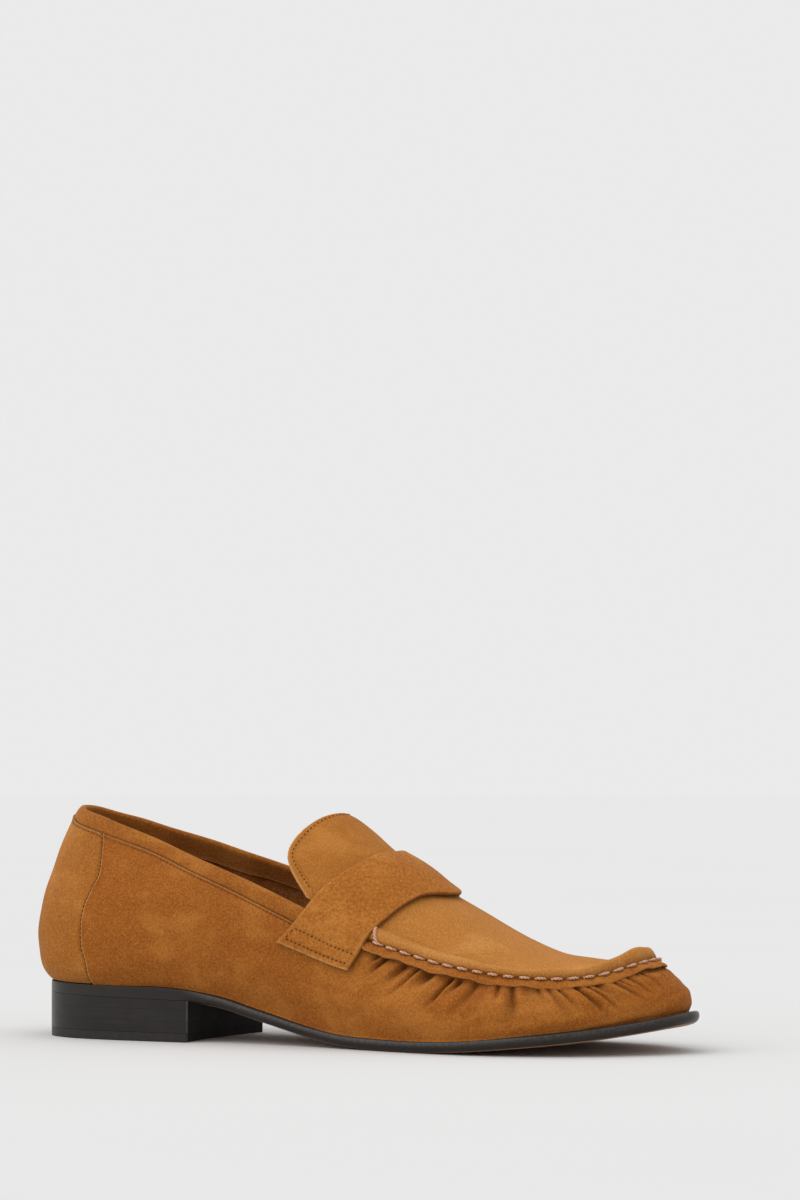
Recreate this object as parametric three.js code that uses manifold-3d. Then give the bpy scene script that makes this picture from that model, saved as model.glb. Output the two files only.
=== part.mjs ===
// A right-foot penny loafer in suede: wrap-round vamp, gathered apron seam, saddle strap, free
// tongue, leather sole and stacked low heel. Millimetres, +X to the toe, +Z up, -Y the outer side.
import * as THREE from 'three';
import { mergeVertices } from 'three/addons/utils/BufferGeometryUtils.js';
import Module from 'manifold-3d';

const wasm = await Module();
wasm.setup();

// ---- Driving dimensions ----
const SOLE_LENGTH = 265;
const TOPLINE_BACK = 11;         // top edge of the upper, from its back end to its toe end
const TOPLINE_LENGTH = 238;
const SOLE_THICKNESS = 4.6;
const HEEL_SEAT_HEIGHT = 17.1;   // underside of the sole at the back of the heel
const HEEL_SEAT_DROP = 0.02;     // forward slope of the heel seat, rise over run
const BREAST = 74.4;             // corners of the heel's front face
const BREAST_HOLLOW = 2.5;
const TOP_PIECE = 3.2;           // rubber that meets the ground
const LIFTS = 3;
const LIFT_THICKNESS = 4.1;
const LIFT_GAP = 0.3;
const GAP = 0.3;                 // clearance between pieces that touch on the real shoe
const UPPER_LEATHER = 1.4;
const PANEL_LEATHER = 1.2;
const STIFFENER = 1.0;
const LINING = 0.8;
const MARGIN_INSET = 9.2;        // edge of the upper's turned-in margin, in from the sole's edge
const PANEL_SLOPE = 1.35;        // the heel panel's foot slopes, so it takes more room inwards
const ELBOW = 0.07;              // share of the wall where the heel panel leaves the sole
const BOARD = [2.1, 3.9];        // insole board, above the sole's upper face
const SOCK = [4.3, 5.3];         // sock liner, above the sole's upper face
const BOARD_MARGIN = 6.4;        // insole board's edge, in from the foot of the upper
const FILLER = [0.4, 1.7];
const FILLER_MARGIN = 9.8;
const SHANK_WIDTH = 14;
const SHANK_REACH = [30, 122];
const FILLER_REACH = [126, 236];
const STRAP_LEATHER = 1.6;
const STRAP_CLEARANCE = 0.55;
const STRAP_END = 1.34;          // how far down the wall the strap runs: 1 is the top edge, 2 the sole
const STRAP_BULGE = 2.6;
const TONGUE_LEATHER = 1.5;
const TONGUE_HALF = 0.95;        // tongue's half width as a share of the opening
const HINGE_GAP = 1.5;
const SEAM_LIP = 1.7;            // height of the apron's upturned edge
const FLANGE = 1.3;              // how far the vamp's cut edge stands out
const THREAD_RADIUS = 0.7;
const THREAD_SHARE = 1.02;       // the thread lies just above the top edge
const LINING_GLUE = 0.4;         // under the apron's leather
const NAIL_TIP = 2;
const NAIL = { head: 2.1, shaft: 0.9, length: 15, headHeight: 0.8 };
const NAIL_PLACES = [[13, 0], [25, -17], [25, 17], [50, -19], [50, 19]];

// Smooth curve through [position, value] pairs, by Catmull-Rom slopes on uneven spacing.
function curve(pairs) {
  const last = pairs.length - 1;
  const rise = (i) => (pairs[i + 1][1] - pairs[i][1]) / (pairs[i + 1][0] - pairs[i][0]);
  const slope = pairs.map(([x], i) => {
    if (i === 0) return rise(0);
    if (i === last) return rise(last - 1);
    const before = x - pairs[i - 1][0];
    const after = pairs[i + 1][0] - x;
    return (rise(i - 1) * after + rise(i) * before) / (before + after);
  });
  return (x) => {
    let i = 0;
    while (i < last - 1 && x > pairs[i + 1][0]) i += 1;
    const [x0, y0] = pairs[i];
    const [x1, y1] = pairs[i + 1];
    const span = x1 - x0;
    const t = THREE.MathUtils.clamp((x - x0) / span, 0, 1);
    const t2 = t * t;
    const t3 = t2 * t;
    return (2 * t3 - 3 * t2 + 1) * y0 + (t3 - 2 * t2 + t) * span * slope[i]
      + (3 * t2 - 2 * t3) * y1 + (t3 - t2) * span * slope[i + 1];
  };
}

// ---- Shape of the last ----
// A station runs from 0 at the back of the heel to PI at the toe, on either side of the shoe.
const SOLE_OUTER = curve([[0, 0], [0.2, -13], [0.4, -23.8], [0.6, -30], [0.8, -32.2],
  [1.05, -32], [1.3, -30.4], [1.5, -31.6], [1.7, -36.4], [1.9, -41], [2.1, -42.2],
  [2.3, -38], [2.5, -29], [2.7, -17.2], [2.85, -8.5], [3.0, -0.8], [Math.PI, 6]]);
const SOLE_INNER = curve([[0, 0], [0.2, 13], [0.4, 23.8], [0.6, 30], [0.8, 32],
  [1.05, 30.6], [1.3, 26.6], [1.5, 27.6], [1.7, 34.4], [1.9, 42], [2.1, 46],
  [2.3, 44.5], [2.5, 38], [2.7, 28], [2.85, 20.4], [3.0, 13], [Math.PI, 6]]);
const TOP_OUTER = curve([[0, 0], [0.25, -9.6], [0.5, -17], [0.75, -21.6], [1.0, -25.4],
  [1.25, -29], [1.5, -31.6], [1.7, -33.2], [1.9, -34.4], [2.1, -34], [2.3, -31.2],
  [2.5, -26], [2.7, -17.5], [2.85, -10], [3.0, -2], [Math.PI, 6]]);
const TOP_INNER = curve([[0, 0], [0.25, 9.5], [0.5, 16.4], [0.75, 21.2], [1.0, 24.5],
  [1.25, 28], [1.5, 30.6], [1.7, 33.2], [1.9, 35.8], [2.1, 37], [2.3, 35.5],
  [2.5, 31.2], [2.7, 24.5], [2.85, 18.5], [3.0, 12], [Math.PI, 6]]);
// Heights along the shoe: top of the sole, top edge of the upper, and middle of its crown.
const SOLE_HEIGHT = curve([[0, 21.7], [40, 20.9], [70, 20.3], [80, 18.9], [88.7, 17.2],
  [98.6, 14.4], [110.8, 11.2], [123, 8.2], [138.7, 5.5], [155, 4.7], [172, 4.6], [190, 5.4],
  [213, 7.4], [230, 9.2], [245, 11.3], [256, 13.4], [265, 15.6]]);
const TOP_HEIGHT = curve([[8, 91.2], [16, 88.6], [28, 85.8], [37, 83], [56, 77.2], [73, 70.9],
  [97.5, 62.3], [125.6, 50.9], [142, 43.6], [155.6, 39], [167, 35.8], [180, 32.5], [192, 30.2],
  [204, 28.4], [217, 27.5], [228, 27.5], [238, 29], [246, 32.2], [252, 35]]);
const CROWN_HEIGHT = curve([[105, 92], [115, 88.6], [127, 85.3], [133, 81.2], [141, 74.5],
  [150, 67.8], [160, 60.9], [177.5, 51.1], [196, 40.9], [210, 35.4], [222, 33.8], [232, 32.9],
  [242, 32.8], [252, 35]]);
// The top edge stands this much further back at the heel's middle, fading to each side.
const HEEL_LEAN = 1.8;
const LEAN_WIDTH = 0.35;
// The inner side of the top edge dips a little beside the heel.
const INNER_DIP = curve([[12, 0], [20, 0.9], [30, 1.5], [45, 1.5], [60, 1], [80, 0], [110, 0]]);
const CROWN_ROUNDNESS = 2.3;
// Fullness of the wall: how far it swells out low down and high up, and where along its height.
const SWELL_LOW = curve([[0, 13], [0.6, 13], [1.2, 8.1], [1.6, 6.5], [2.2, 6], [2.8, 0.8],
  [Math.PI, 0.6]]);
const SWELL_HIGH = curve([[0, 11.7], [0.6, 11.7], [1.2, 8], [1.6, 4], [2.2, 5], [2.8, 3.4],
  [Math.PI, 3.4]]);
const LOW_SHARE = curve([[0, 0.2], [0.6, 0.14], [1.2, 0.3], [Math.PI, 0.32]]);
const HIGH_SHARE = curve([[0, 0.28], [1.2, 0.4], [Math.PI, 0.35]]);
// How far the sole's edge stands out beyond the foot of the upper.
const WELT = curve([[0, 1.2], [2.3, 1.2], [2.8, 3.1], [Math.PI, 4.1]]);
// Collar seam and, in front of the strap, the line below the vamp's cut edge, as a share of the wall.
const COLLAR_SHARE = curve([[0, 0.93], [0.5, 0.91], [0.9, 0.91], [1.2, 0.885], [1.6, 0.86],
  [2, 0.88], [Math.PI, 0.86]]);

// Stations of the common grid: layers that share it lie parallel and never cut each other.
const BREAST_STATION = Math.acos(1 - 2 * BREAST / SOLE_LENGTH);
const STATIONS = [0, 0.15, 0.3, 0.46, 0.64, 0.7, 0.84, 1.0, BREAST_STATION, 1.26, 1.4, 1.52,
  1.62, 1.71, 1.76, 1.79, 1.94, 2.1, 2.25, 2.4, 2.55, 2.7, 2.84, 2.98, Math.PI];
const PANEL_EDGE = 0.64;
const COUNTER_END = 1.0;
const LINING_JOIN = 1.52;
const COLLAR_END = 1.62;
const SEAM_START = 1.79;
const PUFF_START = 2.4;
const WALL_LINES = [0.22, 0.4, 0.58, 0.78];
const SHOULDER = 0.9;

const UP = new THREE.Vector3(0, 0, 1);
const share = (station) => (1 - Math.cos(station)) / 2;
const angleOf = (part) => Math.acos(1 - 2 * THREE.MathUtils.clamp(part, 0, 1));
const stationOf = (x) => angleOf((x - TOPLINE_BACK) / TOPLINE_LENGTH);
// Going once round the shoe: 0 to PI along the outer side, PI to 2 PI back along the inner side.
const foldStation = (around) => (around <= Math.PI ? around : 2 * Math.PI - around);

function solePoint(around) {
  const station = foldStation(around);
  const side = around <= Math.PI ? SOLE_OUTER : SOLE_INNER;
  return new THREE.Vector3(SOLE_LENGTH * share(station), side(station), 0);
}

function soleOutward(around) {
  const step = 0.002;
  const wrap = (a) => (a + 2 * Math.PI) % (2 * Math.PI);
  const along = solePoint(wrap(around + step)).sub(solePoint(wrap(around - step)));
  return new THREE.Vector3(along.y, -along.x, 0).normalize();
}

// Point of the sole's outline moved inwards, at a height above the sole's upper face.
function onSole(around, inset, height) {
  const point = solePoint(around).addScaledVector(soleOutward(around), -inset);
  point.z = SOLE_HEIGHT(point.x) + height;
  return point;
}

function topEdge(around) {
  const station = foldStation(around);
  const x = TOPLINE_BACK + TOPLINE_LENGTH * share(station);
  const lean = HEEL_LEAN * Math.exp(-((station / LEAN_WIDTH) ** 2));
  const side = around <= Math.PI ? TOP_OUTER : TOP_INNER;
  const dip = around <= Math.PI ? 0 : INNER_DIP(x);
  return new THREE.Vector3(x - lean, side(station), TOP_HEIGHT(x) - dip);
}

// Wall of the upper: a cubic from the sole's edge (v 0) to the top edge (v 1), swelling outwards.
function wall(around, v) {
  const station = foldStation(around);
  const foot = onSole(around, WELT(station), GAP);
  const head = topEdge(around);
  const out = soleOutward(around);
  const rise = head.z - foot.z;
  const low = foot.clone().addScaledVector(out, SWELL_LOW(station));
  low.z += rise * LOW_SHARE(station);
  const high = head.clone().addScaledVector(out, SWELL_HIGH(station));
  high.z -= rise * HIGH_SHARE(station);
  const w = 1 - v;
  return foot.multiplyScalar(w * w * w).addScaledVector(low, 3 * w * w * v)
    .addScaledVector(high, 3 * w * v * v).addScaledVector(head, v * v * v);
}

// Point at a depth under a surface given by a function of two parameters.
function below(surface, a, b, stepA, stepB, depth) {
  const alongA = surface(a + stepA, b).sub(surface(a - stepA, b));
  const alongB = surface(a, b + stepB).sub(surface(a, b - stepB));
  return surface(a, b).addScaledVector(alongA.cross(alongB).normalize(), -depth);
}

const ringWall = (around, v) => wall((around + 2 * Math.PI) % (2 * Math.PI), v);
const WALL_STEP = 0.002;
const underWall = (around, v, depth) => below(ringWall, around, v, WALL_STEP, WALL_STEP, depth);

// Crown over the opening, from the outer top edge (t -1) to the inner one (t 1).
function crown(x, t) {
  const station = stationOf(x);
  const point = topEdge(station).lerp(topEdge(2 * Math.PI - station), (1 + t) / 2);
  point.z += (CROWN_HEIGHT(x) - TOP_HEIGHT(x)) * (1 - Math.abs(t) ** CROWN_ROUNDNESS);
  return point;
}

const underCrown = (x, t, depth) => below(crown, x, t, 0.05, 0.004, depth);

// Crown and walls as one surface across the shoe: past 1 and -1 it runs down the walls.
function across(x, q) {
  if (Math.abs(q) <= 1) return crown(x, q);
  const station = stationOf(x);
  return wall(q < 0 ? station : 2 * Math.PI - station, 2 - Math.abs(q));
}

// ---- Solids ----
function between(from, to, count) {
  return Array.from({ length: count + 1 }, (_, i) => from + (to - from) * i / count);
}

function solid(points, triangles) {
  const volume = triangles.reduce((sum, [a, b, c]) => (
    sum + points[a].dot(points[b].clone().cross(points[c]))), 0);
  const faces = volume > 0 ? triangles : triangles.map(([a, b, c]) => [a, c, b]);
  const geometry = new THREE.BufferGeometry().setFromPoints(points);
  geometry.setIndex(faces.flat());
  return geometry;
}

// Closed sheet between two grids of points; a ring also joins its last row to its first.
function sheet(front, back, ring = false) {
  const rows = front.length;
  const columns = front[0].length;
  const triangles = [];
  const frontAt = (i, j) => (i % rows) * columns + j;
  const backAt = (i, j) => rows * columns + frontAt(i, j);
  const quad = (a, b, c, d) => triangles.push([a, b, c], [a, c, d]);
  const spans = ring ? rows : rows - 1;
  for (let i = 0; i < spans; i += 1) {
    for (let j = 0; j < columns - 1; j += 1) {
      quad(frontAt(i, j), frontAt(i + 1, j), frontAt(i + 1, j + 1), frontAt(i, j + 1));
      quad(backAt(i, j), backAt(i, j + 1), backAt(i + 1, j + 1), backAt(i + 1, j));
    }
    const edge = columns - 1;
    quad(frontAt(i, 0), backAt(i, 0), backAt(i + 1, 0), frontAt(i + 1, 0));
    quad(frontAt(i, edge), frontAt(i + 1, edge), backAt(i + 1, edge), backAt(i, edge));
  }
  for (let j = 0; j < columns - 1 && !ring; j += 1) {
    const end = rows - 1;
    quad(frontAt(0, j), frontAt(0, j + 1), backAt(0, j + 1), backAt(0, j));
    quad(frontAt(end, j), backAt(end, j), backAt(end, j + 1), frontAt(end, j + 1));
  }
  return solid([...front.flat(), ...back.flat()], triangles);
}

function toManifold(geometry) {
  const bare = geometry.clone();
  bare.deleteAttribute('normal');
  bare.deleteAttribute('uv');
  const merged = mergeVertices(bare, 1e-4);
  return new wasm.Manifold(new wasm.Mesh({
    numProp: 3,
    vertProperties: new Float32Array(merged.attributes.position.array),
    triVerts: new Uint32Array(merged.index.array),
  }));
}

function cut(geometry, tools) {
  const subtracted = tools.reduce((body, tool) => body.subtract(toManifold(tool)), toManifold(geometry));
  const mesh = subtracted.getMesh();
  const result = new THREE.BufferGeometry();
  result.setAttribute('position', new THREE.BufferAttribute(new Float32Array(mesh.vertProperties), 3));
  result.setIndex([...mesh.triVerts]);
  return result;
}

// Stations of the common grid between two stations, once round through the heel or the toe.
function roundHeel(end) {
  const half = STATIONS.filter((s) => s > 0 && s <= end + 1e-9);
  return [...half.map((s) => 2 * Math.PI - s).reverse().map((a) => a - 2 * Math.PI), 0, ...half];
}

function roundToe(start) {
  const half = [start, ...STATIONS.filter((s) => s > start + 0.01 && s < Math.PI)];
  return [...half, Math.PI, ...half.map((s) => 2 * Math.PI - s).reverse()];
}

const stationAt = (around) => foldStation((around + 2 * Math.PI) % (2 * Math.PI));
const skinDepth = (around) => (stationAt(around) <= PANEL_EDGE + 1e-9 ? PANEL_LEATHER + GAP : 0);
const stiffened = (around) => {
  const station = stationAt(around);
  return station <= COUNTER_END + 1e-9 || station >= PUFF_START - 1e-9;
};
const stiffenerDepth = (around) => skinDepth(around) + UPPER_LEATHER + GAP;
const liningDepth = (around) => stiffenerDepth(around) + (stiffened(around) ? STIFFENER + GAP : 0);
const collarShare = (around) => COLLAR_SHARE(stationAt(around));
// Share of the wall that clears the turned-in margin of the upper.
const footShare = curve([[0, 0.07], [1.6, 0.08], [2.4, 0.16], [Math.PI, 0.2]]);

// A length up the wall, as a share of its height.
function shareOfWall(around, length) {
  const head = topEdge(around);
  return length / (head.z - SOLE_HEIGHT(head.x));
}

// Sheet on the wall, from two depths, over the shares of the wall that a function lists.
function wallSheet(places, shares, outerDepth, thickness, ring = false) {
  const grid = (extra) => places.map((around) => shares(around).map((v) => (
    underWall(around, v, outerDepth(around) + extra))));
  return sheet(grid(0), grid(thickness), ring);
}

// ---- Heel ----
function heelOutline(inset) {
  const outer = between(BREAST_STATION, 0.12, 9);
  const inner = between(1e-9, BREAST_STATION, 10);
  const side = outer.map((station) => onSole(station, inset, 0));
  const other = inner.map((station) => onSole(2 * Math.PI - station, inset, 0));
  const breast = between(-0.8, 0.8, 6).map((t) => {
    const width = (other.at(-1).y - side[0].y) / 2;
    const middle = (other.at(-1).y + side[0].y) / 2;
    return new THREE.Vector2(BREAST - BREAST_HOLLOW * (1 - t * t), middle - t * width);
  });
  return new THREE.Shape([...side, ...other, ...breast].map((p) => new THREE.Vector2(p.x, p.y)));
}

function layer(bottom, top, inset) {
  const settings = { depth: top - bottom, bevelEnabled: false };
  return new THREE.ExtrudeGeometry(heelOutline(inset), settings).translate(0, 0, bottom);
}

// The uppermost lift is a wedge: its upper face follows the slope of the heel seat.
function seatLift(bottom, inset) {
  const geometry = layer(bottom, bottom + 1, inset);
  const position = geometry.attributes.position;
  for (let i = 0; i < position.count; i += 1) {
    const seat = HEEL_SEAT_HEIGHT - GAP - HEEL_SEAT_DROP * position.getX(i);
    if (position.getZ(i) > bottom + 0.5) position.setZ(i, seat);
  }
  return geometry;
}

function nail(clearance) {
  const { head, shaft, length, headHeight } = NAIL;
  const rim = head + clearance;
  const neck = -headHeight - clearance;
  const profile = [[0, clearance * 3], [rim, clearance * 3], [rim, neck], [shaft + clearance, neck],
    [shaft + clearance, NAIL_TIP - length - clearance], [0, -length - clearance]];
  const points = profile.map(([radius, height]) => new THREE.Vector2(radius, height)).reverse();
  return new THREE.LatheGeometry(points, 8).rotateX(Math.PI / 2);
}

function nailAt([x, y], clearance) {
  return nail(clearance).translate(x, y, SOLE_HEIGHT(x) + BOARD[1] - GAP);
}

const nailHoles = NAIL_PLACES.map((place) => nailAt(place, GAP));

// ---- Sole and insole ----
const SOLE_ENDS = 0.07;   // the outline's two ends are cut straight across, this station in

function plate(stations, margin, [bottom, top]) {
  const grid = (height) => stations.map((station) => [station, 2 * Math.PI - station].map((around) => (
    onSole(around, WELT(station) + margin, height))));
  return sheet(grid(top), grid(bottom));
}

const wholeLength = [SOLE_ENDS, ...STATIONS.slice(1, -1), Math.PI - SOLE_ENDS];

function soleUnderside(x) {
  return x < BREAST + 0.5 ? HEEL_SEAT_HEIGHT - HEEL_SEAT_DROP * x : SOLE_HEIGHT(x) - SOLE_THICKNESS;
}

function outsole() {
  const rim = (station) => [onSole(station, 0, 0), onSole(2 * Math.PI - station, 0, 0)];
  const top = wholeLength.map(rim);
  const bottom = top.map((row) => row.map((p) => new THREE.Vector3(p.x, p.y, soleUnderside(p.x))));
  return sheet(top, bottom);
}

function filler() {
  const [from, to] = FILLER_REACH.map((x) => angleOf(x / SOLE_LENGTH));
  return plate(between(from, to, 8), FILLER_MARGIN, FILLER);
}

function shank() {
  const rows = between(...SHANK_REACH, 12);
  const grid = (height) => rows.map((x) => [-1, 1].map((side) => (
    new THREE.Vector3(x, side * SHANK_WIDTH / 2, SOLE_HEIGHT(x) + height))));
  return sheet(grid(FILLER[1] - 0.2), grid(FILLER[0]));
}

// ---- Upper ----
// Shares of the wall, or of the collar seam's height, where the vamp and quarters are bent.
const OPEN_SHOULDER = 0.97;      // below the top edge, where there is no collar
const COLLAR_LIP = 0.96;         // below the collar seam
const PANEL_STOP = 0.994;        // top of the heel panel, just short of the collar seam

// Vamp and quarters: one piece right round the shoe, turned in under the insole board, with its
// cut edge standing out along the apron seam and stopping at the collar further back.
function vampQuarter() {
  const places = [...STATIONS, ...STATIONS.slice(1, -1).reverse().map((s) => 2 * Math.PI - s)];
  const rows = (extra) => places.map((around) => {
    const station = stationAt(around);
    const depth = skinDepth(around);
    const open = station > COLLAR_END + 0.01;
    const seam = station >= SEAM_START - 1e-9;
    const collar = collarShare(around);
    const last = open ? 1 : collar - shareOfWall(around, GAP);
    const stand = seam && extra === 0 ? -FLANGE : 0;
    const margin = onSole(around, MARGIN_INSET + depth, GAP + extra);
    const bend = onSole(around, WELT(station) + depth * PANEL_SLOPE + extra, GAP + extra);
    const lines = [footShare(station), ...WALL_LINES.map((line) => line * collar)];
    const faces = lines.map((line) => underWall(around, line, depth + extra));
    const shoulder = underWall(around, (open ? OPEN_SHOULDER : SHOULDER) * collar, depth + extra);
    const lipShare = open ? (1 + collar) / 2 : COLLAR_LIP * collar;
    const lip = underWall(around, lipShare, depth + extra + stand);
    return [margin, bend, ...faces, shoulder, lip, underWall(around, last, depth + extra + stand)];
  });
  return sheet(rows(0), rows(UPPER_LEATHER), true);
}

const panelShares = (around) => (
  [0, ELBOW, ...WALL_LINES, SHOULDER, 1].map((line) => line * collarShare(around) * PANEL_STOP));
const heelPanel = () => wallSheet(roundHeel(PANEL_EDGE), panelShares, () => 0, PANEL_LEATHER);

function collarBand() {
  const places = roundHeel(COLLAR_END);
  const shares = (around) => [collarShare(around) + shareOfWall(around, GAP), 1];
  const grid = (depth) => places.map((around) => (
    shares(around).map((v) => underWall(around, v, depth(around)))));
  return sheet(grid(() => 0), grid((around) => liningDepth(around) - GAP));
}

// Layers inside the wall climb the same lines, then the shares of the wall that top lists.
const insideShares = (top) => (around) => (
  [footShare(stationAt(around)), ...WALL_LINES.map((line) => line * collarShare(around)), ...top(around)]);
const COUNTER_TOP = 0.97;        // share of the collar seam's height
const PUFF_TOP = 0.85;
const VAMP_LINING_TOP = 0.86;
const QUARTER_LINING_TOP = 0.985;
const LOWER_LINING_TOP = 0.93;
const LOWER_LINING_FROM = 1.3;   // station

function heelCounter() {
  const shares = insideShares((around) => [collarShare(around) * COUNTER_TOP]);
  return wallSheet(roundHeel(COUNTER_END), shares, stiffenerDepth, STIFFENER);
}

function toePuff() {
  return wallSheet(roundToe(PUFF_START), insideShares(() => [PUFF_TOP]), stiffenerDepth, STIFFENER);
}

// The quarter lining ends lower where it meets the vamp's lining under the tongue.
function quarterLining() {
  const top = (around) => [collarShare(around), stationAt(around) > LOWER_LINING_FROM
    ? LOWER_LINING_TOP : QUARTER_LINING_TOP];
  return wallSheet(roundHeel(LINING_JOIN), insideShares(top), liningDepth, LINING);
}

function vampLining() {
  const places = roundToe(LINING_JOIN + 0.006);
  return wallSheet(places, insideShares(() => [VAMP_LINING_TOP]), liningDepth, LINING);
}

// Rear edge and front edge of the strap, by how far across the shoe the point lies.
const STRAP_REAR = curve([[0, 145.6], [0.1, 145.4], [0.35, 143.2], [0.57, 139.5], [0.75, 134.5],
  [0.87, 130], [1, 125], [1.16, 120.2], [1.34, 114.5]]);
const STRAP_FRONT = curve([[0, 170.8], [0.1, 170.5], [0.2, 169.2], [0.44, 164.6], [0.65, 160.7],
  [0.83, 156.6], [1, 151.6], [1.16, 148.8], [1.34, 144.8]]);

function saddleStrap() {
  const columns = between(0, 1, 6);
  const grid = (height) => between(-STRAP_END, STRAP_END, 24).map((q) => columns.map((w) => {
    const reach = Math.abs(q);
    const x = THREE.MathUtils.lerp(STRAP_REAR(reach), STRAP_FRONT(reach), w);
    const bulge = STRAP_BULGE * Math.sin(Math.PI * w) * Math.max(0, 1 - reach * reach);
    return below(across, x, q, 0.5, 0.03, -height - bulge);
  }));
  return sheet(grid(STRAP_CLEARANCE + STRAP_LEATHER), grid(STRAP_CLEARANCE));
}

// Rows of the apron run from the strap's rear edge to the toe; its columns are shares of the
// width that stays clear of the vamp's top edge.
const APRON_FRONT = 243.5;
const APRON_COLUMNS = [0, 0.27, 0.52, 0.74, 0.9, 0.95, 1];
const APRON_CLEARANCE = 2.4;
const LIP_FROM = 0.94;           // share of the half width where the apron's lip begins

function apronHalf(x) {
  const station = stationOf(x);
  return 1 - 2 * APRON_CLEARANCE / (TOP_INNER(station) - TOP_OUTER(station));
}

function apronSheet(outerDepth, innerDepth, widest, start) {
  const half = APRON_COLUMNS.filter((c) => c <= widest);
  const columns = [...half.slice(1).reverse().map((c) => -c), ...half];
  const rows = between(0, 1, 17).map((f) => Math.sin(f * Math.PI / 2) ** 0.9);
  const grid = (depth) => rows.map((f) => columns.map((c) => {
    const reach = Math.abs(c) * apronHalf(STRAP_REAR(1));
    const x = THREE.MathUtils.lerp(STRAP_REAR(reach) + start, APRON_FRONT, f);
    return underCrown(x, c * apronHalf(x), depth(x, c));
  }));
  return sheet(grid(outerDepth), grid(innerDepth));
}

function apron() {
  const lipFrom = TOPLINE_BACK + TOPLINE_LENGTH * share(SEAM_START) + 3;
  const raised = (x, c) => (x > lipFrom && Math.abs(c) > LIP_FROM ? -SEAM_LIP : 0);
  return apronSheet(raised, () => UPPER_LEATHER, 1, 0);
}

function apronLining() {
  const depth = UPPER_LEATHER + LINING_GLUE;
  return apronSheet(() => depth, () => depth + LINING, 0.9, 1);
}

// The tongue's free edge: furthest back at its shoulders, a little forward at its middle.
const TONGUE_EDGE = curve([[0, 123.2], [0.08, 123], [0.2, 121.8], [0.41, 117.9], [0.54, 115.4],
  [0.65, 113.4], [0.74, 112.5], [0.8, 113.2], [0.86, 116], [0.91, 120], [0.95, 124]]);

function tongueSheet(outerDepth, thickness, inset) {
  const half = TONGUE_HALF - inset / 32;
  const columns = between(-half, half, 18);
  const grid = (depth) => columns.map((t) => between(0, 1, 6).map((f) => {
    const rear = TONGUE_EDGE(Math.abs(t)) + inset;
    const x = THREE.MathUtils.lerp(rear, STRAP_REAR(Math.abs(t)) - HINGE_GAP, f);
    return underCrown(x, t, depth);
  }));
  return sheet(grid(outerDepth), grid(outerDepth + thickness));
}

// Hand-sewn thread of the apron seam, lying between the apron's lip and the vamp's cut edge.
function seamThread() {
  const places = roundToe(SEAM_START + 0.03);
  const height = FLANGE + THREAD_RADIUS + GAP;
  const route = places.map((around) => underWall(around, THREAD_SHARE, -height));
  const section = new THREE.Shape(between(0, 5 / 6, 5).map((turn) => {
    const angle = turn * 2 * Math.PI;
    return new THREE.Vector2(THREAD_RADIUS * Math.cos(angle), THREAD_RADIUS * Math.sin(angle));
  }));
  const path = new THREE.CatmullRomCurve3(route);
  return new THREE.ExtrudeGeometry(section, { steps: 44, bevelEnabled: false, extrudePath: path });
}

// ---- Materials ----
function finish(color, roughness, metalness = 0) {
  return new THREE.MeshStandardMaterial({ color, roughness, metalness });
}
const SUEDE = finish(0xb07636, 0.95);
const PALE_SUEDE = finish(0xc48d4e, 0.95);
const STRAP_SUEDE = finish(0xa96c2e, 0.95);
const LINING_SUEDE = finish(0x6d4422, 0.95);
const SOLE_LEATHER = finish(0x2a1d17, 0.45);
const HEEL_LEATHER = finish(0x2e211b, 0.5);
const RUBBER = finish(0x1d1a19, 0.7);
const BOARD_FIBRE = finish(0xa58a66, 0.9);
const CORK = finish(0x9a7148, 0.95);
const STEEL = finish(0x9da1a6, 0.35, 1);
const THREAD = finish(0xd1a387, 0.8);
const STIFF_FIBRE = finish(0xcdbb9a, 0.9);

// ---- Assembly ----
const shoe = new THREE.Group();
function add(name, geometry, material) {
  const mesh = new THREE.Mesh(geometry, material);
  mesh.name = name;
  shoe.add(mesh);
}

add('top_piece', layer(0, TOP_PIECE, 1.2), RUBBER);
for (let i = 0; i < LIFTS; i += 1) {
  const bottom = TOP_PIECE + LIFT_GAP + i * (LIFT_THICKNESS + LIFT_GAP);
  const seat = i === LIFTS - 1;
  const block = seat ? seatLift(bottom, 0.5) : layer(bottom, bottom + LIFT_THICKNESS, 1 - 0.25 * i);
  add(`heel_lift_${i + 1}`, i === 0 ? block : cut(block, nailHoles), HEEL_LEATHER);
}
NAIL_PLACES.forEach((place, i) => add(`heel_nail_${i + 1}`, nailAt(place, 0), STEEL));
add('outsole', cut(outsole(), nailHoles), SOLE_LEATHER);
add('shank', shank(), STEEL);
add('cork_filler', filler(), CORK);
add('insole_board', cut(plate(wholeLength, BOARD_MARGIN, BOARD), nailHoles), BOARD_FIBRE);
add('sock_liner', plate(wholeLength, BOARD_MARGIN, SOCK), LINING_SUEDE);
add('vamp_quarter', vampQuarter(), SUEDE);
add('heel_panel', heelPanel(), SUEDE);
add('collar_band', collarBand(), SUEDE);
add('heel_counter', heelCounter(), STIFF_FIBRE);
add('toe_puff', toePuff(), STIFF_FIBRE);
add('quarter_lining', quarterLining(), LINING_SUEDE);
add('vamp_lining', vampLining(), LINING_SUEDE);
add('apron', apron(), PALE_SUEDE);
add('apron_lining', apronLining(), LINING_SUEDE);
add('apron_seam_thread', seamThread(), THREAD);
add('saddle_strap', saddleStrap(), STRAP_SUEDE);
add('tongue', tongueSheet(0, TONGUE_LEATHER, 0), PALE_SUEDE);
add('tongue_lining', tongueSheet(TONGUE_LEATHER + GAP, LINING, 1.2), LINING_SUEDE);

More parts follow.
